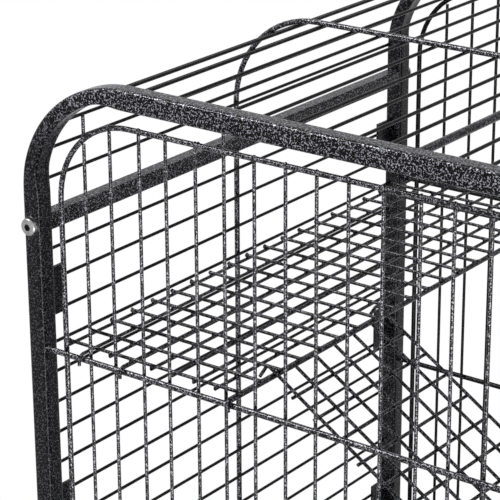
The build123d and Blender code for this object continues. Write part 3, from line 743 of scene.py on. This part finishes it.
@dataclass
class ArchTubes:
    """The two bent tube arches, with the flattening that bending gives a square tube."""

    corner: float = 0.0027
    corner_steps: int = 4
    face_marks: tuple[float, ...] = (0.5, 0.0, -0.5)
    flattening: float = 0.0037
    widening: float = 0.0008
    dish: float = 0.0006
    easing: float = 0.3
    bend_steps: int = 40
    foot_chamfer: float = 0.0005

    def build(self, bench: Bench) -> None:
        """Makes both arches in place of the plain ones.

        Args:
            bench: where pieces are made.
        """
        for end in ("front", "rear"):
            shape = bmesh.new()
            joined(shape, self.rings(ArchLine(*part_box(f"{end}_arch"))))
            arch = bench.put(f"{end}_arch_tube", shape, "cage", Finish.ARCH_COAT)
            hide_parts(f"{end}_arch")

    def outline(self, half: float) -> list[tuple[float, float]]:
        """The rounded square section, with a few points across the faces that a bend changes.

        Args:
            half: half the tube's side.

        Returns:
            Points as distance outwards from the bend and distance along Y.
        """
        points = []
        inner = half - self.corner
        for quarter in range(4):
            for step in range(self.corner_steps + 1):
                angle = math.pi / 2 * (quarter + step / self.corner_steps)
                out = self.corner * math.cos(angle) + inner * (1 if quarter in (0, 3) else -1)
                across = self.corner * math.sin(angle) + inner * (1 if quarter in (0, 1) else -1)
                points.append((out, across))
            if quarter == 1:
                points += [(-half, inner * share) for share in self.face_marks]
            if quarter == 3:
                points += [(half, -inner * share) for share in self.face_marks]
        return points

    def ring(
        self, centre: Vector, outward: Vector, half: float, flat: float = 0.0, inset: float = 0.0
    ) -> list[Vector]:
        """One ring of the tube.

        Args:
            centre: the tube's centre there.
            outward: the unit direction away from the bend's centre.
            half: half the tube's side.
            flat: 0 for an even section and 1 for a fully flattened one.
            inset: how far the ring is drawn in.

        Returns:
            The ring's points.
        """
        points = []
        for out, across in self.outline(half):
            share = (half - out) / (2 * half)
            middle = max(0.0, 1.0 - (across / half) ** 2)
            moved = out + flat * share * (self.flattening + self.dish * middle)
            wide = across * (1 + flat * self.widening / half)
            shrink = 1.0 - inset / half
            points.append(centre + outward * moved * shrink + Vector((0.0, wide * shrink, 0.0)))
        return points

    def rings(self, line: ArchLine) -> list[list[Vector]]:
        """Rings along the whole arch, from its left foot.

        Args:
            line: the arch's centre line.

        Returns:
            The rings.
        """
        made = []
        for side in (-1, 1):
            outward = Vector((side, 0.0, 0.0))
            foot = Vector((side * line.reach, line.y, line.low.z))
            above = Vector((side * line.reach, line.y, line.low.z + self.foot_chamfer))
            leg = [
                self.ring(foot, outward, line.half, inset=self.foot_chamfer),
                self.ring(above, outward, line.half),
            ]
            for step in range(self.bend_steps + 1):
                angle = math.pi / 2 * step / self.bend_steps
                outward = Vector((side * math.cos(angle), 0.0, math.sin(angle)))
                centre = Vector((side * line.bend_x, line.y, line.bend_z)) + outward * line.bend
                leg.append(self.ring(centre, outward, line.half, self.flat(angle)))
            made += leg if side < 0 else leg[::-1]
        return made

    def flat(self, angle: float) -> float:
        """Works out how far the section is flattened.

        Args:
            angle: the angle round the bend.

        Returns:
            0 at the bend's ends, rising smoothly to 1.
        """
        share = min(1.0, min(angle, math.pi / 2 - angle) / self.easing)
        return share * share * (3 - 2 * share)


@dataclass
class WeldWork:
    """Weld drops where the wires meet each other, the rods and the posts."""

    gap: float = 0.0008
    frame_inset: float = 0.0223
    frame_rod: float = 0.004
    bent_girth: float = 0.03  # a bar with a wider box is bent
    rod_girth: float = 0.01  # and so is one of a panel's bars
    wire_girth: float = 0.0032  # the thickest wire of a mesh that has knobs at its ends
    least_upright: float = 0.1
    tip: Vector = field(default_factory=lambda: Vector((0.0015, 0.0016, 0.0016)))
    tip_sink: float = 0.4
    nugget: float = 0.0019
    end_flat: float = 0.8
    knob_flat: float = 0.7
    brace_drop: Vector = field(default_factory=lambda: Vector((0.0026, 0.0034, 0.0036)))
    bead: Vector = field(default_factory=lambda: Vector((0.0018, 0.0017, 0.0017)))
    bead_drops: int = 24
    bead_square: float = 1.3  # carries the circle of drops out to the rail's square

    def build(self, bench: Bench, frame: dict) -> None:
        """Makes the welds of the panels, platforms, shelf, grille, door and cross rails.

        Args:
            bench: where pieces are made.
        """
        for end in ("front", "rear"):
            self.panel(bench, frame, end)
        for name in ("left_wire_panel", "right_wire_panel", "roof_wire_panel"):
            self.long_wires(bench, frame, name)
        for name in ("upper_platform", "lower_platform", "storage_shelf"):
            self.mesh_shelf(bench, frame, name, "cage")
        self.mesh_shelf(bench, frame, "floor_grille", "grille")
        self.mesh_shelf(bench, frame, "front_door", "door")
        for end in ("front", "rear"):
            self.cross_rails(bench, end)

    def crossings(self, parts: list[Bar]) -> list[Vector]:
        """Finds where straight bars that run different ways touch.

        Args:
            parts: a node's bars.

        Returns:
            The places.
        """
        straight = [bar for bar in parts if bar.girth < self.bent_girth]
        found = []
        for index, bar in enumerate(straight):
            for other in straight[index + 1:]:
                if bar.along != other.along:
                    place = bar.touch(other, self.gap)
                    if place is not None:
                        found.append(place)
        return found

    def nuggets(self, shape: bmesh.types.BMesh, places: list[Vector]) -> None:
        """Adds the small spread of metal at each crossing."""
        for place in places:
            weld_drop(shape, place, Vector((self.nugget,) * 3))

    def panel(self, bench: Bench, frame: dict, end: str) -> None:
        """Upright tips, crossings and brace ends of a front or rear panel.

        Args:
            bench: where pieces are made.
            end: "front" or "rear".
        """
        line = ArchLine(*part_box(f"{end}_arch"))
        frame_top = line.bend - self.frame_inset + self.frame_rod / 2
        parts = bars(frame, f"{end}_wire_panel")
        shape = bmesh.new()
        for bar in parts:
            if bar.girth > self.rod_girth or bar.size.z < self.least_upright:
                continue
            out = max(0.0, abs(bar.middle.x) - line.bend_x)
            if out < frame_top:
                tip = bar.middle.copy()
                tip.z = line.bend_z + math.sqrt(frame_top ** 2 - out ** 2) - self.tip.z * self.tip_sink
                weld_drop(shape, tip, self.tip)
        self.nuggets(shape, self.crossings(parts))
        bench.put(f"{end}_panel_welds", shape, "cage", Finish.FRONT_WIRE_COAT)
        drops = bmesh.new()
        for bar in parts:
            if bar.along == 0 and bar.girth < self.rod_girth:
                for place in bar.ends():
                    if abs(abs(place.x) - line.inner_face) < self.gap:
                        weld_drop(drops, place, self.brace_drop)
        bench.put(f"{end}_brace_welds", drops, "cage", Finish.RAIL_COAT)

    def long_wires(self, bench: Bench, frame: dict, node: str) -> None:
        """Drops at the ends of the wires between the arches.

        Args:
            bench: where pieces are made.
            node: the wires' node.
        """
        shape = bmesh.new()
        size = Vector((self.nugget, self.nugget * self.end_flat, self.nugget))
        for bar in bars(frame, node):
            if bar.along == 1:
                for place in bar.ends():
                    weld_drop(shape, place, size)
        # painted shade: these welds wear the darkened copy of the wire coat
        bench.put(f"{node}_welds", shape, "cage", Finish.INNER_WIRE_COAT)

    def mesh_shelf(self, bench: Bench, frame: dict, node: str, body: str) -> None:
        """Nuggets at the crossings of a wire mesh, and knobs at its wires' ends.

        Args:
            bench: where pieces are made.
            node: the mesh's node.
            body: the body that it rides on.
        """
        parts = bars(frame, node)
        shape = bmesh.new()
        self.nuggets(shape, self.crossings(parts))
        knob = Vector((self.nugget * self.knob_flat, self.nugget, self.nugget))
        for bar in parts:
            if bar.along == 0 and bar.girth < self.wire_girth:
                for place in bar.ends():
                    weld_drop(shape, place, knob)
        # painted shade: the welds wear the darker copy of the wire coat
        bench.put(f"{node}_welds", shape, body, Finish.SHELF_WIRE_COAT)

    def cross_rails(self, bench: Bench, end: str) -> None:
        """Fillet beads where the welded cross rails meet the posts.

        Args:
            bench: where pieces are made.
            end: "front" or "rear".
        """
        inner = ArchLine(*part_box(f"{end}_arch")).inner_face
        shape = bmesh.new()
        for level in ("base", "stand"):
            rail_low, rail_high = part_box(f"{end}_{level}_rail")
            half = (rail_high.z - rail_low.z) / 2
            middle = (rail_low + rail_high) / 2
            for side in (-1, 1):
                for step in range(self.bead_drops):
                    angle = math.tau * step / self.bead_drops
                    across = max(-1.0, min(1.0, self.bead_square * math.cos(angle)))
                    up = max(-1.0, min(1.0, self.bead_square * math.sin(angle)))
                    place = Vector((side * inner, middle.y + half * across, middle.z + half * up))
                    weld_drop(shape, place, self.bead)
        bench.put(f"{end}_rail_welds", shape, "cage", Finish.RAIL_COAT)


@dataclass
class BoltDetails:
    """A thin washer under each frame bolt's head, and a black cup set in its hex socket as painted shade.
    """

    inner: float = 0.0062
    outer: float = 0.0075
    thick: float = 0.0008
    chamfer: float = 0.0003
    chamfer_from: float = 0.6
    washer_steps: int = 36
    key: float = 0.00286
    key_floor: float = 0.00195
    key_mouth: float = 0.0043
    key_wall: float = 0.0003
    key_skin: float = 0.0004
    key_dip: float = 0.0002
    key_dip_share: float = 0.2
    key_sides: int = 6

    def build(self, bench: Bench, frame: dict) -> None:
        """Makes one washer and one black socket cup of painted shade for each bolt.

        Args:
            bench: where pieces are made.
        """
        arch_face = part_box("rear_arch")[1].y
        shape = bmesh.new()
        painted_shade_cups = bmesh.new()
        washer = [
            (self.inner, 0.0), (self.outer, 0.0), (self.outer, self.thick * self.chamfer_from),
            (self.outer - self.chamfer, self.thick), (self.inner, self.thick),
        ]
        # painted shade: a black hex cup inside each bolt's socket stands for the shade in the recess
        inside = self.key - self.key_wall
        cup = [
            (self.key, self.key_floor), (self.key, self.key_mouth), (inside, self.key_mouth),
            (inside, self.key_floor + self.key_skin),
            (self.key * self.key_dip_share, self.key_floor + self.key_dip),
        ]
        for bolt in bars(frame, "frame_bolts"):
            side = math.copysign(1.0, bolt.middle.y)
            seat = Vector((bolt.middle.x, side * arch_face, bolt.middle.z))
            outward = Vector((0.0, side, 0.0))
            turned(shape, washer, seat, outward, self.washer_steps, ring=True)
            turned(painted_shade_cups, cup, seat, outward, self.key_sides)
        bench.put("bolt_washers", shape, "cage", Finish.BLACK_COAT)
        bench.put("bolt_socket_painted_shade_cups", painted_shade_cups, "cage", Finish.BLACK_COAT)


# ---- Tray and latch pieces ----


@dataclass
class TrayDetails:
    """The litter tray's rolled rim and the grip ribs on its lip."""

    rim: float = 0.0016
    rim_steps: int = 12
    wall: float = 0.002
    corner: float = 0.004
    corner_steps: int = 6
    lip_half: float = 0.06
    lip_depth: float = 0.014
    lip_top: float = 0.0043
    ribs: int = 4
    rib: float = 0.0008
    rib_margin: float = 0.003
    rib_taper: float = 0.001
    rib_tip: float = 0.2
    rib_sink: float = 0.0002
    rib_steps: int = 12

    def build(self, bench: Bench) -> None:
        """Makes the rim and the ribs.

        Args:
            bench: where pieces are made.
        """
        low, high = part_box("litter_tray")
        self.roll(bench, low, high)
        self.grips(bench, low, high)

    def roll(self, bench: Bench, low: Vector, high: Vector) -> None:
        """The rolled rim round the top of the walls.

        Args:
            bench: where pieces are made.
            low: the tray's lowest corner.
            high: its highest corner.
        """
        front = low.y + self.lip_depth
        shape = bmesh.new()
        half_x = high.x - self.wall / 2
        rings = []
        corners = [(half_x, high.y), (-half_x, high.y), (-half_x, front), (half_x, front)]
        for quarter, (x, y) in enumerate(corners):
            along_x = x - math.copysign(self.corner, x)
            along_y = y - (self.wall / 2 + self.corner) * (1 if y > 0 else -1)
            for step in range(self.corner_steps + 1):
                angle = math.pi / 2 * (quarter + step / self.corner_steps)
                spoke = Vector((math.cos(angle), math.sin(angle), 0.0))
                centre = Vector((along_x, along_y, high.z)) + spoke * self.corner
                rings.append([
                    centre + (spoke * math.cos(turn) + Vector((0, 0, math.sin(turn)))) * self.rim
                    for turn in (math.tau * k / self.rim_steps for k in range(self.rim_steps))
                ])
        joined(shape, rings, closed=True)
        bench.put("tray_rim", shape, "tray", Finish.TRAY_PLASTIC)

    def grips(self, bench: Bench, low: Vector, high: Vector) -> None:
        """The ribs along the lip that the tray is pulled by.

        Args:
            bench: where pieces are made.
            low: the tray's lowest corner.
            high: its highest corner.
        """
        shape = bmesh.new()
        z = (low.z + high.z) / 2 + self.lip_top - self.rib_sink
        end = self.lip_half - self.rib_margin
        full = end - self.rib_taper
        tip = self.rib * self.rib_tip
        profile = [(tip, -end), (self.rib, -full), (self.rib, full), (tip, end)]
        for index in range(self.ribs):
            y = low.y + self.lip_depth * (index + 1) / (self.ribs + 1)
            turned(shape, profile, Vector((0.0, y, z)), Vector((1.0, 0.0, 0.0)), self.rib_steps)
        bench.put("tray_lip_ribs", shape, "tray", Finish.TRAY_PLASTIC)


@dataclass
class LatchKnob:
    """The knurled sleeve on the latch bolt's knob."""

    from_tail: float = 0.0158
    bore: float = 0.0039
    radius: float = 0.0049
    flute: float = 0.0005
    points: int = 48
    length: float = 0.0066
    chamfer_in: float = 0.0004
    chamfer_along: float = 0.0005
    back: float = 0.0012

    def build(self, bench: Bench) -> None:
        """Makes the sleeve.

        Args:
            bench: where pieces are made.
        """
        low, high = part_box("latch_bolt")
        origin = Vector((low.x + self.from_tail, low.y + self.back, (low.z + high.z) / 2))
        face = self.radius - self.chamfer_in
        profile = [
            (self.bore, 0.0), (face, 0.0), (self.radius, self.chamfer_along),
            (self.radius, self.length - self.chamfer_along), (face, self.length), (self.bore, self.length),
        ]
        shape = bmesh.new()
        turned(shape, profile, origin, Vector((0.0, 1.0, 0.0)), self.points, self.flute, ring=True)
        bench.put("latch_knob_sleeve", shape, "bolt", Finish.BLACK_COAT)


# ---- Caster pieces ----


@dataclass
class CasterDetails:
    """Hub ribs, tyre rings, axle caps and pedal ribs."""

    hub_ribs: int = 8
    rib_inner: float = 0.0068
    rib_outer: float = 0.0158
    rib_half: float = 0.0009
    rib_rise: float = 0.0011
    rib_taper: float = 0.001
    rib_ends: tuple[float, float] = (0.8, 0.6)  # the rise at the inner and outer end
    rib_crown: float = 0.7
    rib_sink: float = 0.0002
    ring_radius: float = 0.0208
    ring_half: float = 0.0008
    ring_rise: float = 0.0005
    ring_sink: float = 0.0004
    ring_crown: float = 0.5
    ring_steps: int = 64
    cap_radius: float = 0.0046
    cap_rise: float = 0.0013
    cap_sink: float = 0.0003
    cap_rings: int = 6
    cap_steps: int = 28
    cap_dimple: tuple[float, float] = (0.12, 0.85)  # its shares of the cap's radius and rise
    pedal_tilt: float = math.radians(3.0)
    pedal_half: float = 0.0095
    pedal_face: float = 0.0015
    pedal_ribs: int = 6
    pedal_rib: float = 0.0008
    pedal_rib_tip: float = 0.0002
    pedal_rib_start: float = 0.014
    pedal_rib_pitch: float = 0.0038
    pedal_rib_steps: int = 10

    def build(self, bench: Bench, frame: dict) -> None:
        """Makes the pieces of all four casters.

        Args:
            bench: where pieces are made.
        """
        for corner in ("front_left", "front_right", "rear_left", "rear_right"):
            self.wheel(bench, corner)
            self.axle_caps(bench, corner)
        joints = {joint["name"]: joint for joint in frame["record"]["behaviour"]["joints"]}
        for corner in ("front_left", "front_right"):
            self.pedal(bench, corner, Vector(joints[f"{corner}_brake_press"]["pos_m"]))

    def wheel(self, bench: Bench, corner: str) -> None:
        """The ribs on a hub's faces and the raised rings on its tyre.

        Args:
            bench: where pieces are made.
            corner: the caster's name.
        """
        low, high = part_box(f"{corner}_tyre")
        centre = (low + high) / 2
        half = (high.x - low.x) / 2
        crown = self.ring_half * self.ring_crown
        profile = [
            (self.ring_radius - self.ring_half, -self.ring_sink),
            (self.ring_radius - crown, self.ring_rise),
            (self.ring_radius + crown, self.ring_rise),
            (self.ring_radius + self.ring_half, -self.ring_sink),
        ]
        ribs = bmesh.new()
        rings = bmesh.new()
        for side in (-1, 1):
            face = Vector((side, 0.0, 0.0))
            for index in range(self.hub_ribs):
                angle = math.tau * (index + 0.5) / self.hub_ribs
                spoke = Vector((0.0, math.cos(angle), math.sin(angle)))
                joined(ribs, self.rib(centre + face * (half - self.rib_sink), face, spoke))
            turned(rings, profile, centre + face * half, face, self.ring_steps, ring=True)
        bench.put(f"{corner}_hub_ribs", ribs, f"{corner}_wheel", Finish.HUB_PLASTIC)
        bench.put(f"{corner}_tyre_rings", rings, f"{corner}_wheel", Finish.RUBBER)

    def rib(self, root: Vector, face: Vector, spoke: Vector) -> list[list[Vector]]:
        """The outlines along one hub rib.

        Args:
            root: the hub's middle, just under its face.
            face: the unit direction out of the hub's face.
            spoke: the unit direction that the rib runs in.

        Returns:
            The outlines, from the rib's inner end.
        """
        across = face.cross(spoke) * self.rib_half
        inner_end, outer_end = self.rib_ends
        stations = (
            (self.rib_inner, inner_end), (self.rib_inner + self.rib_taper, 1.0),
            (self.rib_outer - self.rib_taper, 1.0), (self.rib_outer, outer_end),
        )
        made = []
        for reach, swell in stations:
            base = root + spoke * reach
            crown = across * self.rib_crown
            rise = face * (self.rib_rise * swell + self.rib_sink)
            made.append([base - across, base - crown + rise, base + crown + rise, base + across])
        return made

    def axle_caps(self, bench: Bench, corner: str) -> None:
        """The domed ends of an axle's rivet.

        Args:
            bench: where pieces are made.
            corner: the caster's name.
        """
        low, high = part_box(f"{corner}_axle")
        centre = (low + high) / 2
        profile = [(self.cap_radius, -self.cap_sink)]
        for step in range(1, self.cap_rings):
            angle = math.pi / 2 * step / self.cap_rings
            profile.append((self.cap_radius * math.cos(angle), self.cap_rise * math.sin(angle)))
        radius_share, rise_share = self.cap_dimple
        profile.append((self.cap_radius * radius_share, self.cap_rise * rise_share))
        shape = bmesh.new()
        for side, reach in ((-1.0, low.x), (1.0, high.x)):
            origin = Vector((reach, centre.y, centre.z))
            turned(shape, profile, origin, Vector((side, 0.0, 0.0)), self.cap_steps)
        bench.put(f"{corner}_axle_caps", shape, f"{corner}_caster", Finish.ZINC)

    def pedal(self, bench: Bench, corner: str, pivot: Vector) -> None:
        """The grip ribs on a brake pedal.

        Args:
            bench: where pieces are made.
            corner: the caster's name.
            pivot: the middle of the pedal's pin.
        """
        about = Matrix.Rotation(math.pi, 4, "Z") @ Matrix.Rotation(self.pedal_tilt, 4, "X")
        full = self.pedal_half - self.pedal_rib
        profile = [
            (self.pedal_rib_tip, -self.pedal_half), (self.pedal_rib, -full),
            (self.pedal_rib, full), (self.pedal_rib_tip, self.pedal_half),
        ]
        shape = bmesh.new()
        for index in range(self.pedal_ribs):
            place = Vector((0.0, self.pedal_rib_start + self.pedal_rib_pitch * index, self.pedal_face))
            turned(shape, profile, place, Vector((1.0, 0.0, 0.0)), self.pedal_rib_steps)
        shape.transform(Matrix.Translation(pivot) @ about)
        bench.put(f"{corner}_pedal_ribs", shape, f"{corner}_pedal", Finish.PEDAL_PLASTIC)


# ---- Surroundings ----


@dataclass(frozen=True)
class Lamp:
    """A soft square lamp: where it hangs, its width in metres and its power in watts."""

    name: str
    place: tuple[float, float, float]
    size: float
    power: float


@dataclass
class Studio:
    """The camera, the lamps, the pale floor and the white surroundings."""

    eye: tuple[float, float, float] = (0.7183, -1.3319, 1.7157)
    right: tuple[float, float, float] = (0.7995, 0.6006, -0.0058)
    back: tuple[float, float, float] = (0.5633, -0.7464, 0.3545)
    lens: float = 157.95
    floor_half: float = 1.15
    floor_tone: Colour = tone(0.88, 0.88, 0.88)
    floor_glow: float = 0.45
    floor_fade: float = 0.6
    floor_rough: float = 0.9
    soft_light: float = 0.32
    white: Colour = tone(1.0, 1.0, 1.0)
    lamps: tuple[Lamp, ...] = (
        Lamp("key_lamp", (-1.8, -1.2, 3.45), 0.45, 66.0),
        Lamp("low_lamp", (1.9, -1.9, 0.12), 1.3, 60.0),
    )
    lamps_aim: tuple[float, float, float] = (0.0, 0.0, 0.9)

    def build(self) -> None:
        """Makes the camera, world, floor and lamps."""
        self.camera()
        self.world()
        self.floor()
        for lamp in self.lamps:
            self.hang(lamp)

    def camera(self) -> None:
        """Places the camera."""
        data = bpy.data.cameras.new("camera")
        data.sensor_width = 36.0
        data.lens = self.lens
        data.clip_start = 0.05
        data.clip_end = 50.0
        made = bpy.data.objects.new("camera", data)
        back = Vector(self.back).normalized()
        up = back.cross(Vector(self.right)).normalized()
        right = up.cross(back)
        turn = Matrix((right, up, back)).transposed().to_4x4()
        made.matrix_world = Matrix.Translation(self.eye) @ turn
        bpy.context.scene.collection.objects.link(made)
        bpy.context.scene.camera = made

    def world(self) -> None:
        """White for the camera and in gloss, and a softer light on the object."""
        world = bpy.data.worlds.new("surroundings")
        bpy.context.scene.world = world
        world.use_nodes = True
        net = Net(world.node_tree)
        path = net.node("ShaderNodeLightPath").outputs
        seen = net.wave(path["Is Camera Ray"]) + net.wave(path["Is Glossy Ray"]) + net.wave(
            path["Is Transmission Ray"]
        )
        soft = net.node("ShaderNodeBackground", Color=self.white, Strength=self.soft_light)
        bright = net.node("ShaderNodeBackground", Color=self.white, Strength=1.0)
        blend = net.node("ShaderNodeMixShader", _0=seen, _1=soft.outputs[0], _2=bright.outputs[0])
        net.node("ShaderNodeOutputWorld", Surface=blend.outputs[0])
        bpy.context.scene.view_settings.view_transform = "Standard"

    def floor(self) -> None:
        """A pale floor that keeps the object's shadow and fades to white before its edges."""
        mesh = bpy.data.meshes.new("floor")
        half = self.floor_half
        corners = [(-half, -half, 0.0), (half, -half, 0.0), (half, half, 0.0), (-half, half, 0.0)]
        mesh.from_pydata(corners, [], [(0, 1, 2, 3)])
        made = bpy.data.objects.new("floor", mesh)
        material, net = Surface.start("floor_paper")
        away = net.node("ShaderNodeVectorMath", {"operation": "LENGTH"}, _0=net.place()).outputs["Value"]
        rim = net.wave(away).ramp(self.floor_fade, self.floor_half, self.floor_glow, 1.0)
        seen = net.wave(net.node("ShaderNodeLightPath").outputs["Is Camera Ray"])
        paper = net.node(
            "ShaderNodeBsdfPrincipled", Base_Color=self.floor_tone, Roughness=self.floor_rough
        )
        glow = net.node("ShaderNodeEmission", Color=self.white, Strength=1.0)
        blend = net.node("ShaderNodeMixShader", _0=seen * rim, _1=paper.outputs[0], _2=glow.outputs[0])
        net.node("ShaderNodeOutputMaterial", Surface=blend.outputs[0])
        mesh.materials.append(material)
        bpy.context.scene.collection.objects.link(made)

    def hang(self, lamp: Lamp) -> None:
        """Hangs one lamp, aimed at the cage.

        Args:
            lamp: the lamp.
        """
        data = bpy.data.lights.new(lamp.name, "AREA")
        data.energy = lamp.power
        data.size = lamp.size
        made = bpy.data.objects.new(lamp.name, data)
        made.visible_camera = False
        away = Vector(lamp.place) - Vector(self.lamps_aim)
        turn = away.to_track_quat("Z", "Y").to_matrix().to_4x4()
        made.matrix_world = Matrix.Translation(lamp.place) @ turn
        bpy.context.scene.collection.objects.link(made)


# ---- Finishes of the frame's nodes ----


@dataclass
class Wardrobe:
    """The finishes, and which one each frame node wears."""

    inner_wires: tuple[str, ...] = (
        "left_wire_panel", "right_wire_panel", "roof_wire_panel", "rear_wire_panel",
    )
    shelf_words: tuple[str, ...] = ("platform", "ramp", "shelf", "grille", "ridge")
    rail_word: str = "rail"

    def materials(self) -> dict[Finish, bpy.types.Material]:
        """Builds every finish's material.

        Returns:
            The materials by finish.
        """
        wire = {"scale": 900.0, "cover": 0.42, "rough": 0.2, "thin": 1.0, "shine": 0.2}
        # painted shade: the platforms, ramps, shelf, grille and ridge rod wear a copy of the wire coat
        # with darker flecks
        shelf = {**wire, "fleck": tone(0.16, 0.16, 0.18), "shine": 0.14}
        # painted shade: the side, roof and rear wires wear a copy of the wire coat with near-black flecks
        # and a darker ground
        inner = {**wire, "fleck": tone(0.03, 0.03, 0.034), "shine": 0.08}
        inner["ground"] = tone(0.0015, 0.0015, 0.0017)
        surfaces = {
            Finish.ARCH_COAT: HammeredCoat(),
            Finish.RAIL_COAT: HammeredCoat(fleck=tone(0.25, 0.25, 0.28), scale=820.0, thin=1.0),
            Finish.FRONT_WIRE_COAT: HammeredCoat(fleck=tone(0.3, 0.3, 0.335), **wire),
            Finish.SHELF_WIRE_COAT: HammeredCoat(**shelf),
            Finish.INNER_WIRE_COAT: HammeredCoat(**inner),
            Finish.GALVANISED: GalvanisedSteel(),
            Finish.BLACK_COAT: BlackCoat(),
            Finish.ZINC: PlatedSteel(),
            Finish.TRAY_PLASTIC: MouldedPlastic(),
            Finish.SOCKET_PLASTIC: MouldedPlastic(tint=tone(0.02, 0.02, 0.02)),
            Finish.PEDAL_PLASTIC: MouldedPlastic(tint=tone(0.3, 0.02, 0.02), worn=tone(0.36, 0.06, 0.05)),
            Finish.HUB_PLASTIC: MouldedPlastic(tint=tone(0.12, 0.12, 0.125), worn=tone(0.17, 0.17, 0.175)),
            Finish.RUBBER: Rubber(),
        }
        return {finish: surface.material(finish.title) for finish, surface in surfaces.items()}

    def dress(self, frame: dict, materials: dict[Finish, bpy.types.Material]) -> None:
        """Gives every frame node its finish.

        Args:
            materials: the finishes' materials.
        """
        slots = {part["node"]: part["material_slot"] for part in frame["record"]["subparts"]}
        for name, node in frame["nodes"].items():
            finish = next(found for found in Finish if found.slot == slots[name])
            # painted shade: the side, roof and rear wires get the darkened copy of the wire coat
            if name in self.inner_wires:
                finish = Finish.INNER_WIRE_COAT
            # painted shade: these parts get the darker copy of the wire coat
            elif any(word in name for word in self.shelf_words):
                finish = Finish.SHELF_WIRE_COAT
            elif finish is Finish.ARCH_COAT and self.rail_word in name:
                finish = Finish.RAIL_COAT
            for place in node.material_slots:
                place.material = materials[finish]


def main() -> None:
    """Builds the scene's pieces in order."""
    logging.basicConfig(level=logging.INFO, format="%(message)s")
    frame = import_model()
    wardrobe = Wardrobe()
    bench = Bench(wardrobe.materials())
    wardrobe.dress(frame, bench.materials)
    Studio().build()
    ArchTubes().build(bench)
    WeldWork().build(bench, frame)
    BoltDetails().build(bench, frame)
    TrayDetails().build(bench)
    LatchKnob().build(bench)
    CasterDetails().build(bench, frame)


if __name__ == "__main__":
    main()
